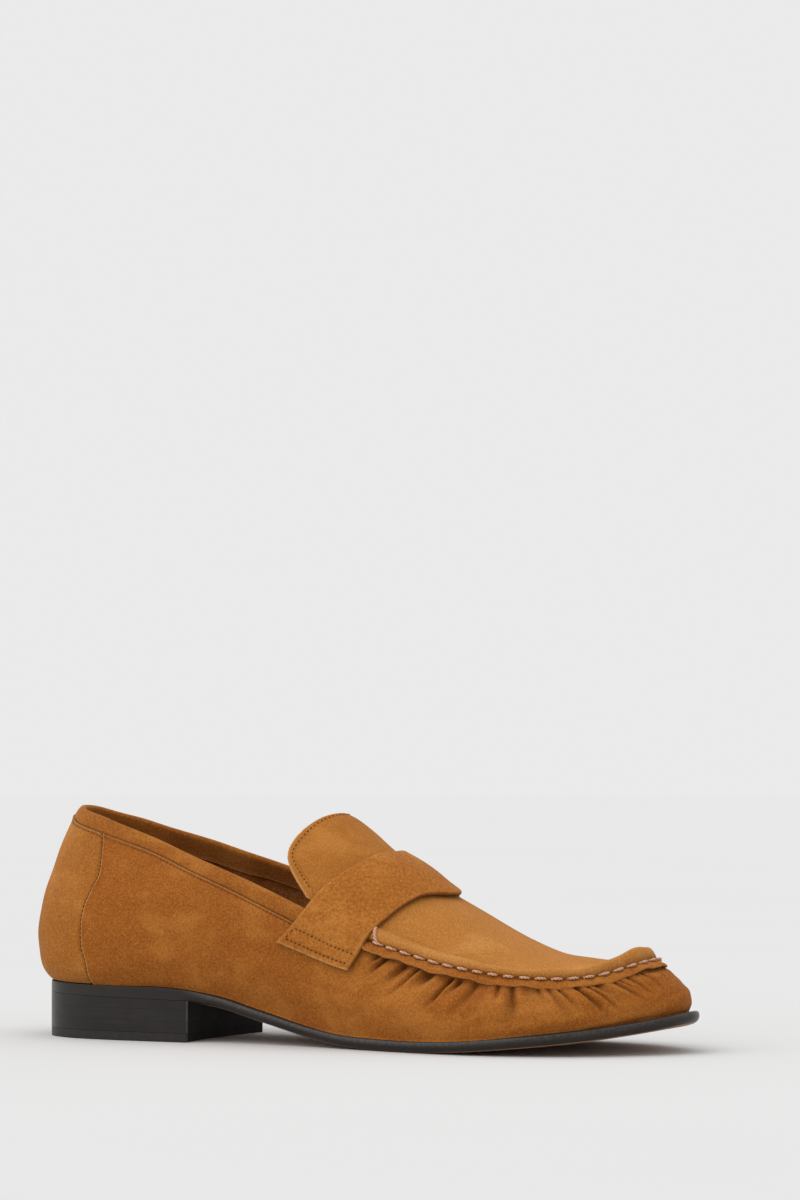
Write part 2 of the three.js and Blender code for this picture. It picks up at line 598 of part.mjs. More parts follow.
// Origin: middle of the footprint of the whole shoe, on the ground.
const box = new THREE.Box3().setFromObject(shoe);
const centre = box.getCenter(new THREE.Vector3());
shoe.position.set(-centre.x, -centre.y, -box.min.z);
shoe.updateMatrixWorld(true);

export default shoe;
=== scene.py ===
import bmesh
import bpy
import numpy as np
from mathutils import Matrix, Vector


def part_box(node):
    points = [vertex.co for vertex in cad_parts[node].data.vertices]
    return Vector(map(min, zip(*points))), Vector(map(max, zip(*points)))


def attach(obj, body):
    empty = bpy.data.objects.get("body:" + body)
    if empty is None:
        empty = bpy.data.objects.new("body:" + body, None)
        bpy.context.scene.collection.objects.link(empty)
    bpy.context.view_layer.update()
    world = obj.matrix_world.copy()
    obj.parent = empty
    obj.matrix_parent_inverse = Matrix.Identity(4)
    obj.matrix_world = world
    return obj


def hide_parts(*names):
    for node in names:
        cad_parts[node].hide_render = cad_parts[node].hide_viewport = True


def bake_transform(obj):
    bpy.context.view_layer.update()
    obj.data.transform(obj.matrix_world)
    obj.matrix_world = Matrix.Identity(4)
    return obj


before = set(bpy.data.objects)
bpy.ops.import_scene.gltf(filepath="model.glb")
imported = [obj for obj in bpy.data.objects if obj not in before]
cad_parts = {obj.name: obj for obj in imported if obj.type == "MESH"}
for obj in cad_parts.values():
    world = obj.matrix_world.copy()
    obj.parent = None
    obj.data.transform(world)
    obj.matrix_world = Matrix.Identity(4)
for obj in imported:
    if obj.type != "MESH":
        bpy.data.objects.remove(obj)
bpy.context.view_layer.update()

PI = np.pi

# ---- Places taken from the frame ----
SOLE_ENDS = 0.07                      # the solid sole's ends are cut across at this station
sole_low, sole_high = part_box("outsole")
SOLE_LENGTH = (sole_high[0] - sole_low[0]) / np.cos(SOLE_ENDS)
MM = SOLE_LENGTH / 265                # one millimetre of the last, in the frame's metres
shank_low, shank_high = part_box("shank")
ORIGIN = np.array([(sole_low[0] + sole_high[0] - SOLE_LENGTH) / 2,
                   (shank_low[1] + shank_high[1]) / 2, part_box("top_piece")[0][2]])

# ---- Driving dimensions, millimetres ----
TOPLINE_BACK, TOPLINE_LENGTH = 11, 238
SOLE_THICKNESS = 4.6
HEEL_SEAT, SEAT_DROP = 17.1, 0.02     # height of the sole's underside at the back, and its slope
BREAST, BREAST_HOLLOW = 73.4, 2.5     # the heel's front corners, and how far it is hollowed between
FRONT_POINTS = 28                     # mesh points of the hollow front between its corners
HEEL_TRIM = 0.1                       # how much shorter the heel's end is trimmed
LIFT_LEVELS = (0, 3.5, 7.9, 12.3)     # where the top piece and each lift begin
GAP = 0.3
LEATHER, LINING, STRAP_LEATHER = 1.4, 0.8, 1.6
PANEL_LEATHER, STIFFENER = 1.2, 1.0
COLLAR_RADIUS, COLLAR_INSIDE = 1.3, 6.6          # the fold over the topline, and its reach inside
STRAP_CLEARANCE, STRAP_BULGE, STRAP_END = 0.55, 1.6, 1.34
STRAP_WIDTH, STRAP_REACH = 27, 36     # millimetres for one unit of w along it and of q across the shoe
FLANGE_WIDTH, FLANGE_THICKNESS = 3.9, 1.35       # the vamp's cut edge standing out below the seam
GATHER_DEPTH, TOE_GATHER_DEPTH = 4.4, 1.25       # deepest valleys beside the seam and round the toe
PUFF_SWELL, TOE_SWELL = .9, 2.6       # how far the leather swells below the seam and round the toe
STITCH_PITCH, STITCH_THICKNESS = 5.9, 1.15       # hand-sewn stitches
TONGUE_LEATHER, TONGUE_REACH = 1.5, 36           # millimetres for one unit of t across the tongue
TONGUE_HALF = .95                     # half its width, as a share of the crown's
UNDER_STRAP = 7.0                     # how far the tongue runs on under the strap
APRON_START = 142.0                   # the apron begins here, under the strap
RIM_WIDTH = 4.8                       # upturned rim of the apron
SOCK_LEVEL = 5.3                      # the sock liner's upper face over the sole's


def curve(pairs):
    """Smooth curve through (position, value) pairs: cubic Hermite spans whose slope at each point is
    the mean of its two chords, each weighted by the other's length."""
    x, y = np.array(pairs, float).T
    step, rise = np.diff(x), np.diff(y) / np.diff(x)
    inner = (rise[:-1] * step[1:] + rise[1:] * step[:-1]) / (step[1:] + step[:-1])
    slope = np.concatenate([rise[:1], inner, rise[-1:]])

    def at(q):
        i = np.clip(np.searchsorted(x, q) - 1, 0, len(step) - 1)
        h = step[i]
        t = np.clip((q - x[i]) / h, 0, 1)
        return ((2 * t**3 - 3 * t**2 + 1) * y[i] + (t**3 - 2 * t**2 + t) * h * slope[i]
                + (3 * t**2 - 2 * t**3) * y[i + 1] + (t**3 - t**2) * h * slope[i + 1])
    return at


def smooth(low, high, x):
    """0 below low, 1 above high, and 3t^2 - 2t^3 between."""
    t = np.clip((x - low) / (high - low), 0, 1)
    return t * t * (3 - 2 * t)


# ---- Shape of the last, by station from 0 at the heel to pi at the toe, or by x ----
SOLE_OUTER = curve([(0, 0), (.2, -13), (.4, -23.8), (.6, -30), (.8, -32.2), (1.05, -32), (1.3, -30.4),
                    (1.5, -31.6), (1.7, -36.4), (1.9, -41), (2.1, -42.2), (2.3, -38), (2.5, -29),
                    (2.7, -17.2), (2.85, -8.5), (3, -.8), (PI, 6)])
SOLE_INNER = curve([(0, 0), (.2, 13), (.4, 23.8), (.6, 30), (.8, 32), (1.05, 30.6), (1.3, 26.6),
                    (1.5, 27.6), (1.7, 34.4), (1.9, 42), (2.1, 46), (2.3, 44.5), (2.5, 38), (2.7, 28),
                    (2.85, 20.4), (3, 13), (PI, 6)])
TOP_OUTER = curve([(0, 0), (.25, -9.6), (.5, -17), (.75, -21.6), (1, -25.4), (1.25, -29), (1.5, -31.6),
                   (1.7, -33.2), (1.9, -34.4), (2.1, -34), (2.3, -31.2), (2.5, -26), (2.7, -17.5),
                   (2.85, -10), (3, -2), (PI, 6)])
TOP_INNER = curve([(0, 0), (.25, 9.5), (.5, 16.4), (.75, 21.2), (1, 24.5), (1.25, 28), (1.5, 30.6),
                   (1.7, 33.2), (1.9, 35.8), (2.1, 37), (2.3, 35.5), (2.5, 31.2), (2.7, 24.5),
                   (2.85, 18.5), (3, 12), (PI, 6)])
SOLE_HEIGHT = curve([(0, 21.7), (40, 20.9), (70, 20.3), (80, 18.9), (88.7, 17.2), (98.6, 14.4),
                     (110.8, 11.2), (123, 8.2), (138.7, 5.5), (155, 4.7), (172, 4.6), (190, 5.4),
                     (213, 7.4), (230, 9.2), (245, 11.3), (256, 13.4), (265, 15.6)])
TOP_HEIGHT = curve([(8, 91.2), (16, 88.6), (28, 85.8), (37, 83), (56, 77.2), (73, 70.9), (97.5, 62.3),
                    (125.6, 50.9), (142, 43.6), (155.6, 39), (167, 35.8), (180, 32.5), (192, 30.2),
                    (204, 28.4), (217, 27.5), (228, 27.5), (238, 29), (246, 32.2), (252, 35)])
CROWN_HEIGHT = curve([(105, 92), (115, 88.6), (127, 85.3), (133, 81.2), (141, 74.5), (150, 67.8),
                      (160, 60.9), (177.5, 51.1), (196, 40.9), (210, 35.4), (222, 33.8), (232, 32.9),
                      (242, 32.8), (252, 35)])
# How much lower the inner side's top edge is.
INNER_DIP = curve([(12, 0), (20, .9), (30, 1.5), (45, 1.5), (60, 1), (80, 0), (110, 0)])
HEEL_LEAN = 1.8                       # the top edge stands further back at the heel's middle
LEAN_WIDTH = .35                      # in radians of station
CROWN_ROUNDNESS = 2.3                 # power of the crown's arch
# The wall's two middle points: how far out they lie, and their shares of its height.
SWELL_LOW = curve([(0, 12.7), (.6, 12.5), (1.2, 8.1), (1.6, 6.5), (2.2, 6), (2.8, .8), (PI, .6)])
SWELL_HIGH = curve([(0, 11.7), (.6, 11.7), (1.2, 8), (1.6, 4), (2.2, 5), (2.8, 3.4), (PI, 3.4)])
LOW_SHARE = curve([(0, .13), (.6, .13), (1.2, .3), (PI, .32)])
HIGH_SHARE = curve([(0, .28), (1.2, .4), (PI, .35)])
# How far the wall's foot stands in from the sole's edge.
WELT = curve([(0, .15), (.5, .35), (1, 1.2), (2.3, 1.2), (2.8, 3.1), (PI, 4.1)])
# Share of the wall's height where the collar's seam lies.
COLLAR_SHARE = curve([(0, .93), (.5, .91), (.9, .91), (1.2, .885), (1.6, .86), (2, .88), (PI, .86)])
# The strap's two edges and the tongue's free edge, by how far across the shoe the place is.
STRAP_REAR = curve([(0, 145.6), (.1, 145.4), (.35, 143.2), (.57, 139.5), (.75, 134.5), (.87, 130),
                    (1, 125), (1.16, 120.2), (1.34, 114.5)])
STRAP_FRONT = curve([(0, 170.8), (.1, 170.5), (.2, 169.2), (.44, 164.6), (.65, 160.7), (.83, 156.6),
                     (1, 151.6), (1.16, 148.8), (1.34, 144.8)])
TONGUE_EDGE = curve([(0, 123.2), (.08, 123), (.2, 121.8), (.41, 117.9), (.54, 115.4), (.65, 113.4),
                     (.74, 112.5), (.8, 113.2), (.86, 116), (.91, 120), (.95, 124)])
# Front edge of the heel panel: a station for each share of the wall's height.
PANEL_EDGE = curve([(0, .712), (.2, .7), (.35, .664), (.5, .642), (.62, .648), (.72, .66), (.8, .64),
                    (.91, .6)])
PANEL_TOP = .93                       # the share of the wall's height where the panel ends
# Share of the wall's height where the linings begin.
FOOT_SHARE = curve([(0, .07), (1.6, .08), (2.4, .16), (PI, .2)])
# Section of the apron's rim: distance in from the seam, and height above the crown's surface.
LIP_IN = curve([(0, .5), (.1, .1), (.22, -.1), (.34, .1), (.46, .65), (.56, 1.35), (.68, 2.25),
                (.82, 3.3), (1, 4.8)])
LIP_UP = curve([(0, -.9), (.1, .4), (.22, 1.6), (.34, 2.5), (.46, 3), (.56, 2.95), (.68, 2.1),
                (.82, .6), (1, 0)])
COLLAR_END = 1.64                     # station where the collar goes under the strap
GATHER_FROM = 1.742                   # station where the gathered seam starts, at the strap's front edge
UP = np.array([0, 0, 1.0])


def share(station):
    """How far forward a station lies, from 0 at the heel to 1 at the toe."""
    return (1 - np.cos(station)) / 2


def station_of(x):
    """Station of the top edge at a place along the shoe."""
    return np.arccos(1 - 2 * np.clip((x - TOPLINE_BACK) / TOPLINE_LENGTH, 0, 1))


def fold(around):
    """Station of a place on the way round the shoe."""
    turn = np.mod(around, 2 * PI)
    return np.where(turn <= PI, turn, 2 * PI - turn)


def by_side(around, outer, inner):
    """One curve of the station on the outer side, another on the inner."""
    return np.where(np.mod(around, 2 * PI) <= PI, outer(fold(around)), inner(fold(around)))


def unit(vectors):
    """The vectors at length 1."""
    return vectors / np.maximum(np.linalg.norm(vectors, axis=-1, keepdims=True), 1e-12)


def sole_outline(around):
    """The sole seen from above, at height 0."""
    return np.stack([SOLE_LENGTH / MM * share(fold(around)), by_side(around, SOLE_OUTER, SOLE_INNER),
                     0 * around], -1)


def outward(around):
    """Horizontal normal of the sole's outline: its tangent turned by a quarter."""
    along = sole_outline(around + .002) - sole_outline(around - .002)
    return unit(np.stack([along[..., 1], -along[..., 0], 0 * along[..., 0]], -1))


def on_sole(around, inset, height):
    """The outline moved inwards, at a height above the sole's upper face."""
    point = sole_outline(around) - outward(around) * np.asarray(inset)[..., None]
    point[..., 2] = SOLE_HEIGHT(point[..., 0]) + height
    return point


def top_edge(around):
    """Topline and, further on, the apron seam: lower by the dip on the inner side, and further back by
    a bell curve at the heel's middle."""
    x = TOPLINE_BACK + TOPLINE_LENGTH * share(fold(around))
    dip = by_side(around, lambda station: 0 * station, lambda station: INNER_DIP(x))
    lean = HEEL_LEAN * np.exp(-(fold(around) / LEAN_WIDTH)**2)
    return np.stack([x - lean, by_side(around, TOP_OUTER, TOP_INNER), TOP_HEIGHT(x) - dip], -1)


def wall(around, v):
    """Cubic from the sole's edge to the top edge, its two middle points pushed outwards."""
    around, v = np.broadcast_arrays(around * 1.0, v * 1.0)
    station = fold(around)
    foot, head, out = on_sole(around, WELT(station), GAP), top_edge(around), outward(around)
    rise = head[..., 2] - foot[..., 2]
    low = foot + out * SWELL_LOW(station)[..., None] + UP * (rise * LOW_SHARE(station))[..., None]
    high = head + out * SWELL_HIGH(station)[..., None] - UP * (rise * HIGH_SHARE(station))[..., None]
    v = v[..., None]
    w = 1 - v
    return w**3 * foot + 3 * w * w * v * low + 3 * w * v * v * high + v**3 * head


def normal_of(surface, a, b, step_a, step_b):
    """Unit cross product of the surface's two tangents."""
    return unit(np.cross(surface(a + step_a, b) - surface(a - step_a, b),
                         surface(a, b + step_b) - surface(a, b - step_b)))


def wall_normal(around, v):
    """The wall's outward normal."""
    return normal_of(wall, around, v, .002, .002)


def under_wall(around, v, depth):
    """The wall moved inwards along its normal."""
    around, v, depth = np.broadcast_arrays(around * 1.0, v, depth)
    return wall(around, v) - wall_normal(around, v) * depth[..., None]


def crown_height(x, t):
    """Height of the crown: the middle's, less the drop to the top edge times |t| to a power."""
    return TOP_HEIGHT(x) + (CROWN_HEIGHT(x) - TOP_HEIGHT(x)) * (1 - np.abs(t)**CROWN_ROUNDNESS)


def crown(x, t):
    """Arch over the opening: straight in plan between the two top edges (t -1 and 1), with the height
    falling from the middle as a power of t."""
    x, t = np.broadcast_arrays(x * 1.0, t * 1.0)
    station = station_of(x)
    y = TOP_OUTER(station) * (1 - t) / 2 + TOP_INNER(station) * (1 + t) / 2
    return np.stack([x, y, crown_height(x, t)], -1)


def over_crown(x, t, lift):
    """The crown moved outwards along its normal."""
    x, t, lift = np.broadcast_arrays(x * 1.0, t * 1.0, lift * 1.0)
    return crown(x, t) + normal_of(crown, x, t, .05, .004) * lift[..., None]


def across(x, q):
    """Crown and walls as one surface: past -1 and 1 it runs down the walls."""
    x, q = np.broadcast_arrays(x * 1.0, q * 1.0)
    station = station_of(x)
    side = wall(np.where(q < 0, station, 2 * PI - station), 2 - np.abs(q))
    return np.where((np.abs(q) <= 1)[..., None], crown(x, np.clip(q, -1, 1)), side)


def over_across(x, q, lift):
    """The same surface moved outwards along its normal."""
    x, q, lift = np.broadcast_arrays(x * 1.0, q * 1.0, lift * 1.0)
    return across(x, q) + normal_of(across, x, q, .5, .03) * lift[..., None]


# ---- Meshes ----
def placed(name, data):
    """An object of the scene with this data."""
    thing = bpy.data.objects.new(name, data)
    bpy.context.scene.collection.objects.link(thing)
    return thing


def piece(name, points, faces, slot, material, body="shoe", replaces=(), marks=None):
    """A mesh in the frame's metres from points in the last's millimetres. marks are per-point values
    that materials read."""
    mesh = bpy.data.meshes.new(name)
    places = np.asarray(points).reshape(-1, 3) * MM + ORIGIN
    mesh.from_pydata(places.tolist(), [], faces if isinstance(faces, list) else faces.tolist())
    for mark, values in (marks or {}).items():
        layer = mesh.attributes.new(mark, "FLOAT", "POINT")
        layer.data.foreach_set("value", np.asarray(values, np.float32).ravel())
    mesh.materials.append(material)
    mesh.shade_smooth()
    thing = placed(name, mesh)
    if replaces:
        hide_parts(*replaces)
    if body:
        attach(thing, body)
    return thing


def quads(rows, columns, ring=False):
    """Corner numbers of a grid's cells; a ring also joins its last row to its first."""
    i, j = np.meshgrid(np.arange(rows if ring else rows - 1), np.arange(columns - 1), indexing="ij")
    this_row, next_row = i * columns + j, (i + 1) % rows * columns + j
    return np.stack([this_row, next_row, next_row + 1, this_row + 1], -1).reshape(-1, 4)


def wrap_faces(rows, columns):
    """The cells that join a grid's last column to its first."""
    first = np.arange(rows - 1) * columns
    last = first + columns - 1
    return np.stack([last, last + columns, first + columns, first], -1)


def sheet_faces(rows, columns, ring=False):
    """Two equal grids, the second one turned over, joined along their borders into a closed sheet."""
    front = quads(rows, columns, ring)
    count = rows * columns
    index = np.arange(count).reshape(rows, columns)
    borders = []
    sides = [index[:, 0][::-1], index[:, -1]] + ([] if ring else [index[0], index[-1][::-1]])
    for line in sides:
        start, end = (line, np.roll(line, -1)) if ring else (line[:-1], line[1:])
        borders.append(np.stack([start, end, end + count, start + count][::-1], -1))
    return np.concatenate([front, front[:, ::-1] + count, *borders])


def facing_out(points, faces):
    """The faces, turned over if the body they close has a negative volume."""
    a, b, c, d = (points[faces[:, k]] for k in range(4))
    volume = sum(np.einsum("ij,ij->i", a, np.cross(p, q)).sum() for p, q in ((b, c), (c, d)))
    return faces if volume > 0 else faces[:, ::-1]


def sheet(name, front, back, slot, material, ring=False, marks=None, **rest):
    """Closed sheet between two grids of points."""
    points = np.concatenate([front.reshape(-1, 3), back.reshape(-1, 3)])
    faces = facing_out(points, sheet_faces(*front.shape[:2], ring))
    both = {k: np.concatenate([np.ravel(v), np.ravel(v)]) for k, v in (marks or {}).items()}
    return piece(name, points, faces, slot, material, marks=both, **rest)


def tube(path, radius, sides=8):
    """Points and faces of a round rod along a path, with every ring square to the path. Its ends are
    open and meant to be sunk in the leather. radius may vary along the path."""
    path = np.asarray(path, float)
    radius = np.broadcast_to(radius, len(path))
    along = unit(np.gradient(path, axis=0))
    side = unit(np.cross(along, UP + [.01, .02, 0]))
    lift = np.cross(side, along)
    turn = np.linspace(0, 2 * PI, sides, endpoint=False)
    spokes = side[:, None] * np.cos(turn)[:, None] + lift[:, None] * np.sin(turn)[:, None]
    rings = path[:, None] + spokes * radius[:, None, None]
    faces = np.concatenate([quads(len(path), sides), wrap_faces(len(path), sides)])
    return rings.reshape(-1, 3), faces


def gathered(parts):
    """Several (points, faces) pairs as one."""
    points, faces, start = [], [], 0
    for some_points, some_faces in parts:
        points.append(some_points)
        faces.append(np.asarray(some_faces) + start)
        start += len(some_points)
    return np.concatenate(points), np.concatenate(faces)


def distances(path):
    """Distance of each point of a polyline from its start, along it."""
    return np.r_[0, np.cumsum(np.linalg.norm(np.diff(path, axis=0), axis=1))]


def along_path(path, values, places):
    """Three-part values of a polyline's points, at given distances along it."""
    return np.stack([np.interp(places, distances(path), values[:, k]) for k in range(3)], -1)


def stitch_run(path, normals, pitch, thickness, fill=0.7, sink=0.5):
    """Separate stitches along a path, one to each pitch: each a short rod that fills a share of it and
    rises from the leather, lies on it and goes back in, as a sine arch sunk at both ends."""
    total = distances(path)[-1]
    count = max(int(total / pitch), 1)
    starts = (np.arange(count) + .5 - fill / 2) * total / count
    t = np.linspace(0, 1, 6)
    parts = []
    for start in starts:
        places = start + t * pitch * fill
        line, up = along_path(path, path, places), unit(along_path(path, normals, places))
        arch = (np.sin(PI * t) ** .5 * (thickness * .55 + sink) - sink)[:, None]
        parts.append(tube(line + up * arch, thickness / 2 * (.6 + .4 * np.sin(PI * t)), 6))
    return gathered(parts)


# ---- Materials ----
class Wire:
    """An output socket; arithmetic on it adds Math nodes to its recipe."""

    def __init__(self, recipe, socket):
        self.recipe, self.socket = recipe, socket

    def _sum(self, operation, first, second):
        """One Math node."""
        return self.recipe.node("Math", {"operation": operation}, {0: first, 1: second})

    def __add__(self, other):
        return self._sum("ADD", self, other)

    def __radd__(self, other):
        return self._sum("ADD", other, self)

    def __sub__(self, other):
        return self._sum("SUBTRACT", self, other)

    def __rsub__(self, other):
        return self._sum("SUBTRACT", other, self)

    def __mul__(self, other):
        return self._sum("MULTIPLY", self, other)

    def __rmul__(self, other):
        return self._sum("MULTIPLY", other, self)

    def __pow__(self, other):
        return self._sum("POWER", self, other)


class Recipe:
    """A material and the ways this shoe's finishes are mixed."""

    def __init__(self, name):
        self.material = bpy.data.materials.new(name)
        self.material.use_nodes = True
        self.tree = self.material.node_tree
        self.tree.nodes.clear()

    def node(self, kind, settings=None, inputs=None, output=0):
        """A node with its settings, and its inputs linked or set; returns one of its outputs."""
        made = self.tree.nodes.new("ShaderNode" + kind)
        for key, value in (settings or {}).items():
            setattr(made, key, value)
        for key, value in (inputs or {}).items():
            if isinstance(value, Wire):
                self.tree.links.new(value.socket, made.inputs[key])
            else:
                made.inputs[key].default_value = value
        return Wire(self, made.outputs[output])

    def place(self, stretch=(1, 1, 1), turn=(0, 0, 0)):
        """Where the point lies on the piece, turned and stretched."""
        spot = self.node("TexCoord", output="Object")
        return self.node("Mapping", None, {"Vector": spot, "Rotation": turn, "Scale": stretch})

    def noise(self, scale, detail=3, roughness=.55, stretch=(1, 1, 1), turn=(0, 0, 0), distortion=0):
        """Layered noise; scale is in grains to the metre."""
        return self.node("TexNoise", None, {
            "Vector": self.place(stretch, turn), "Scale": scale, "Detail": detail, "Roughness": roughness,
            "Distortion": distortion})

    def between(self, value, low, high, start=0, end=1):
        """start at low, end at high, and a smooth step between."""
        return self.node("MapRange", {"interpolation_type": "SMOOTHSTEP"}, {
            "Value": value, "From Min": low, "From Max": high, "To Min": start, "To Max": end})

    def mark(self, name):
        """One of the piece's per-point marks."""
        return self.node("Attribute", {"attribute_name": name}, output="Fac")

    def mix(self, share_of_second, first, second):
        """Two colours mixed."""
        colours = {0: share_of_second, 6: first, 7: second}
        return self.node("Mix", {"data_type": "RGBA"}, colours, output=2)

    def bump(self, height, strength, distance, under=None):
        """Relief from a height, over another relief if one is given."""
        sockets = {"Height": height, "Strength": strength, "Distance": distance}
        if under:
            sockets["Normal"] = under
        return self.node("Bump", None, sockets)

    def finish(self, **sockets):
        """The surface itself; sockets are its inputs, with underscores for spaces."""
        named = {key.replace("_", " "): value for key, value in sockets.items()}
        surface = self.node("BsdfPrincipled", None, named)
        out = self.tree.nodes.new("ShaderNodeOutputMaterial")
        self.tree.links.new(surface.socket, out.inputs["Surface"])
        return self.material


def rgb(r, g, b):
    """A colour as a socket takes it."""
    return (r, g, b, 1)


def times(colour, factor):
    """A colour made darker or lighter."""
    return rgb(*[part * factor for part in colour])


def suede(name, colour, dark, light, edge, coarse=1.0, mottle=1.0):
    """Napped leather: soft brushed patches, fine speckle, painted shade in creases, grooves and hollows,
    and a pale cut edge; on the apron's rolled rim the same pale mark is a painted highlight.
    """
    r = Recipe(name)
    patches = r.between(r.noise(30, 3, .55, distortion=.5), .32, .68)
    streaks = r.between(r.noise(95, 3, .6, stretch=(.5, 1, 1), turn=(.3, .5, .4), distortion=.7), .3, .7)
    tone = patches * .6 + streaks * .4
    speckle = r.noise(1250 / coarse, 3, .75)
    fibres = r.noise(2900 / coarse, 2, .6)
    body = r.mix(.5 + (.5 - tone) * (.75 * mottle), rgb(*colour), rgb(*dark))
    body = r.mix(r.between(tone, .45, .95) * (.55 * mottle), body, rgb(*light))
    body = r.mix(r.between(speckle, .48, .66) * .5, body, rgb(*light))
    body = r.mix((1 - r.between(speckle, .34, .5)) * .6, body, times(dark, .8))
    body = r.mix(r.between(fibres, .54, .7) * .3, body, rgb(*edge))
    # painted shade: this mark darkens the suede towards a deep brown where shade falls in creases,
    # grooves, hollows and inside the shoe
    body = r.mix(r.mark("crease") * .82, body, times(dark, .3))
    # the pale mark lightens cut edges to their own paler colour and, on the apron's rolled rim, paints a
    # highlight
    body = r.mix(r.mark("raw") * r.between(speckle, .3, .6, .45, .95), body, rgb(*edge))
    relief = r.bump(speckle, .45, .0005)
    relief = r.bump(streaks, .1, .0005, relief)
    return r.finish(Base_Color=body, Roughness=.95, Normal=relief, Specular_IOR_Level=.1,
                    Sheen_Weight=.1, Sheen_Roughness=.4, Sheen_Tint=rgb(1, .7, .4))


def stained_leather(name, colour, worn, roughness, lines=0.0, shine=.3):
    """Dark waxed leather: slight cloudy wear, fine scratches along the shoe and, on the heel, the
    thin level lines of the stacked layers."""
    r = Recipe(name)
    cloud = r.between(r.noise(60, 4, .6), .4, .75)
    scratch = r.between(r.noise(420, 3, .6, stretch=(.08, .08, 1.6)), .55, .8)
    body = r.mix(cloud * .5, rgb(*colour), rgb(*worn))
    body = r.mix(scratch * (.35 + lines), body, times(worn, 1.7))
    relief = r.bump(scratch, .1 + lines * .4, .00015)
    relief = r.bump(r.noise(1600, 3, .6), .12, .0001, relief)
    return r.finish(Base_Color=body, Roughness=r.between(cloud, 0, 1, roughness, roughness + .15),
                    Normal=relief, Specular_IOR_Level=shine)


def sole_finish():
    """Sole leather: near-black edge with a painted highlight in pale specks along its upper corner, and
    tan underside.
    Marks say where the underside and the painted highlight are."""
    r = Recipe("sole leather, stained edge")
    cloud = r.between(r.noise(45, 4, .6), .4, .7)
    under = r.mark("underside")
    pores = r.noise(1400, 3, .7)
    edge = r.mix(cloud * .5, rgb(.0125, .0085, .006), rgb(.024, .0165, .012))
    # painted highlight: pale specks along the edge's upper corner
    painted_edge_highlight = r.between(r.noise(900, 3, .7), .4, .64, .25, 1) * r.mark("painted_edge_highlight")
    edge = r.mix(painted_edge_highlight * .5, edge, rgb(.10, .085, .075))
    tan = r.mix(cloud, rgb(.42, .21, .1), rgb(.52, .29, .15))
    tan = r.mix(r.between(pores, .4, .7) * .25, tan, rgb(.3, .14, .06))
    relief = r.bump(pores, .15, .0001)
    return r.finish(Base_Color=r.mix(under, edge, tan), Roughness=r.between(under, 0, 1, .36, .5),
                    Normal=relief, Specular_IOR_Level=.32)


def rubber_finish():
    """Dull black rubber with a fine grain."""
    r = Recipe("heel rubber")
    grain = r.noise(900, 3, .6)
    body = r.mix(r.between(grain, .3, .7), rgb(.013, .0105, .009), rgb(.022, .018, .016))
    return r.finish(Base_Color=body, Roughness=.5, Normal=r.bump(grain, .2, .0001), Specular_IOR_Level=.3)


def thread_finish(name, colour, dark):
    """Waxed thread: twisted plies as slanting bands, with painted shade in the gaps between them."""
    r = Recipe(name)
    plies = r.node("TexWave", {"wave_type": "BANDS", "bands_direction": "DIAGONAL"},
                   {"Vector": r.place(), "Scale": 420, "Distortion": .6})
    fuzz = r.noise(2600, 3, .7)
    # painted shade: the gaps between the plies take the darker colour
    body = r.mix(r.between(plies, .1, .6), rgb(*dark), rgb(*colour))
    body = r.mix(r.between(fuzz, .4, .7) * .25, body, rgb(*dark))
    relief = r.bump(plies, .4, .0002)
    return r.finish(Base_Color=body, Roughness=.85, Normal=relief, Specular_IOR_Level=.1)


def fibre_finish(name, colour, fleck, scale):
    """Pressed or granulated board: round grains of two tones."""
    r = Recipe(name)
    grains = r.node("TexVoronoi", None, {"Vector": r.place(), "Scale": scale})
    body = r.mix(r.between(grains, .2, .7), rgb(*colour), rgb(*fleck))
    return r.finish(Base_Color=body, Roughness=.9, Normal=r.bump(grains, .3, .0003))


def steel_finish():
    """Steel with faint drawn lines along the shoe."""
    r = Recipe("plain steel")
    drawn = r.noise(500, 3, .6, stretch=(.05, 1, 1))
    body = r.mix(r.between(drawn, .3, .7), rgb(.42, .42, .43), rgb(.6, .6, .61))
    return r.finish(Base_Color=body, Roughness=r.between(drawn, .2, .8, .25, .45), Metallic=1.0)


CUT_EDGE = (.58, .32, .13)
SUEDE = suede("cognac suede", (.318, .098, .0125), (.24, .064, .0065), (.43, .165, .029),
              CUT_EDGE, mottle=.85)
PANEL_SUEDE = suede("heel panel suede", (.36, .130, .021), (.27, .084, .0105), (.47, .195, .042),
                    CUT_EDGE, mottle=.9)
COLLAR_SUEDE = suede("collar suede", (.31, .100, .0135), (.225, .063, .007), (.41, .155, .028), CUT_EDGE)
APRON_SUEDE = suede("apron suede", (.44, .178, .037), (.36, .127, .019), (.56, .265, .076),
                    CUT_EDGE, .75, .7)
TONGUE_SUEDE = suede("tongue suede", (.39, .142, .0235), (.31, .101, .013), (.48, .195, .042),
                     CUT_EDGE, .75, .9)
STRAP_SUEDE = suede("strap suede", (.375, .13, .019), (.285, .084, .0095), (.49, .20, .042),
                    CUT_EDGE, 1.5, .8)
LINING_SUEDE = suede("lining suede", (.30, .105, .024), (.2, .062, .012), (.42, .17, .05),
                     (.45, .24, .1), 1.9)
SOLE = sole_finish()
HEEL = stained_leather("stained stacked leather", (.011, .0085, .007), (.022, .017, .0145), .36, .2)
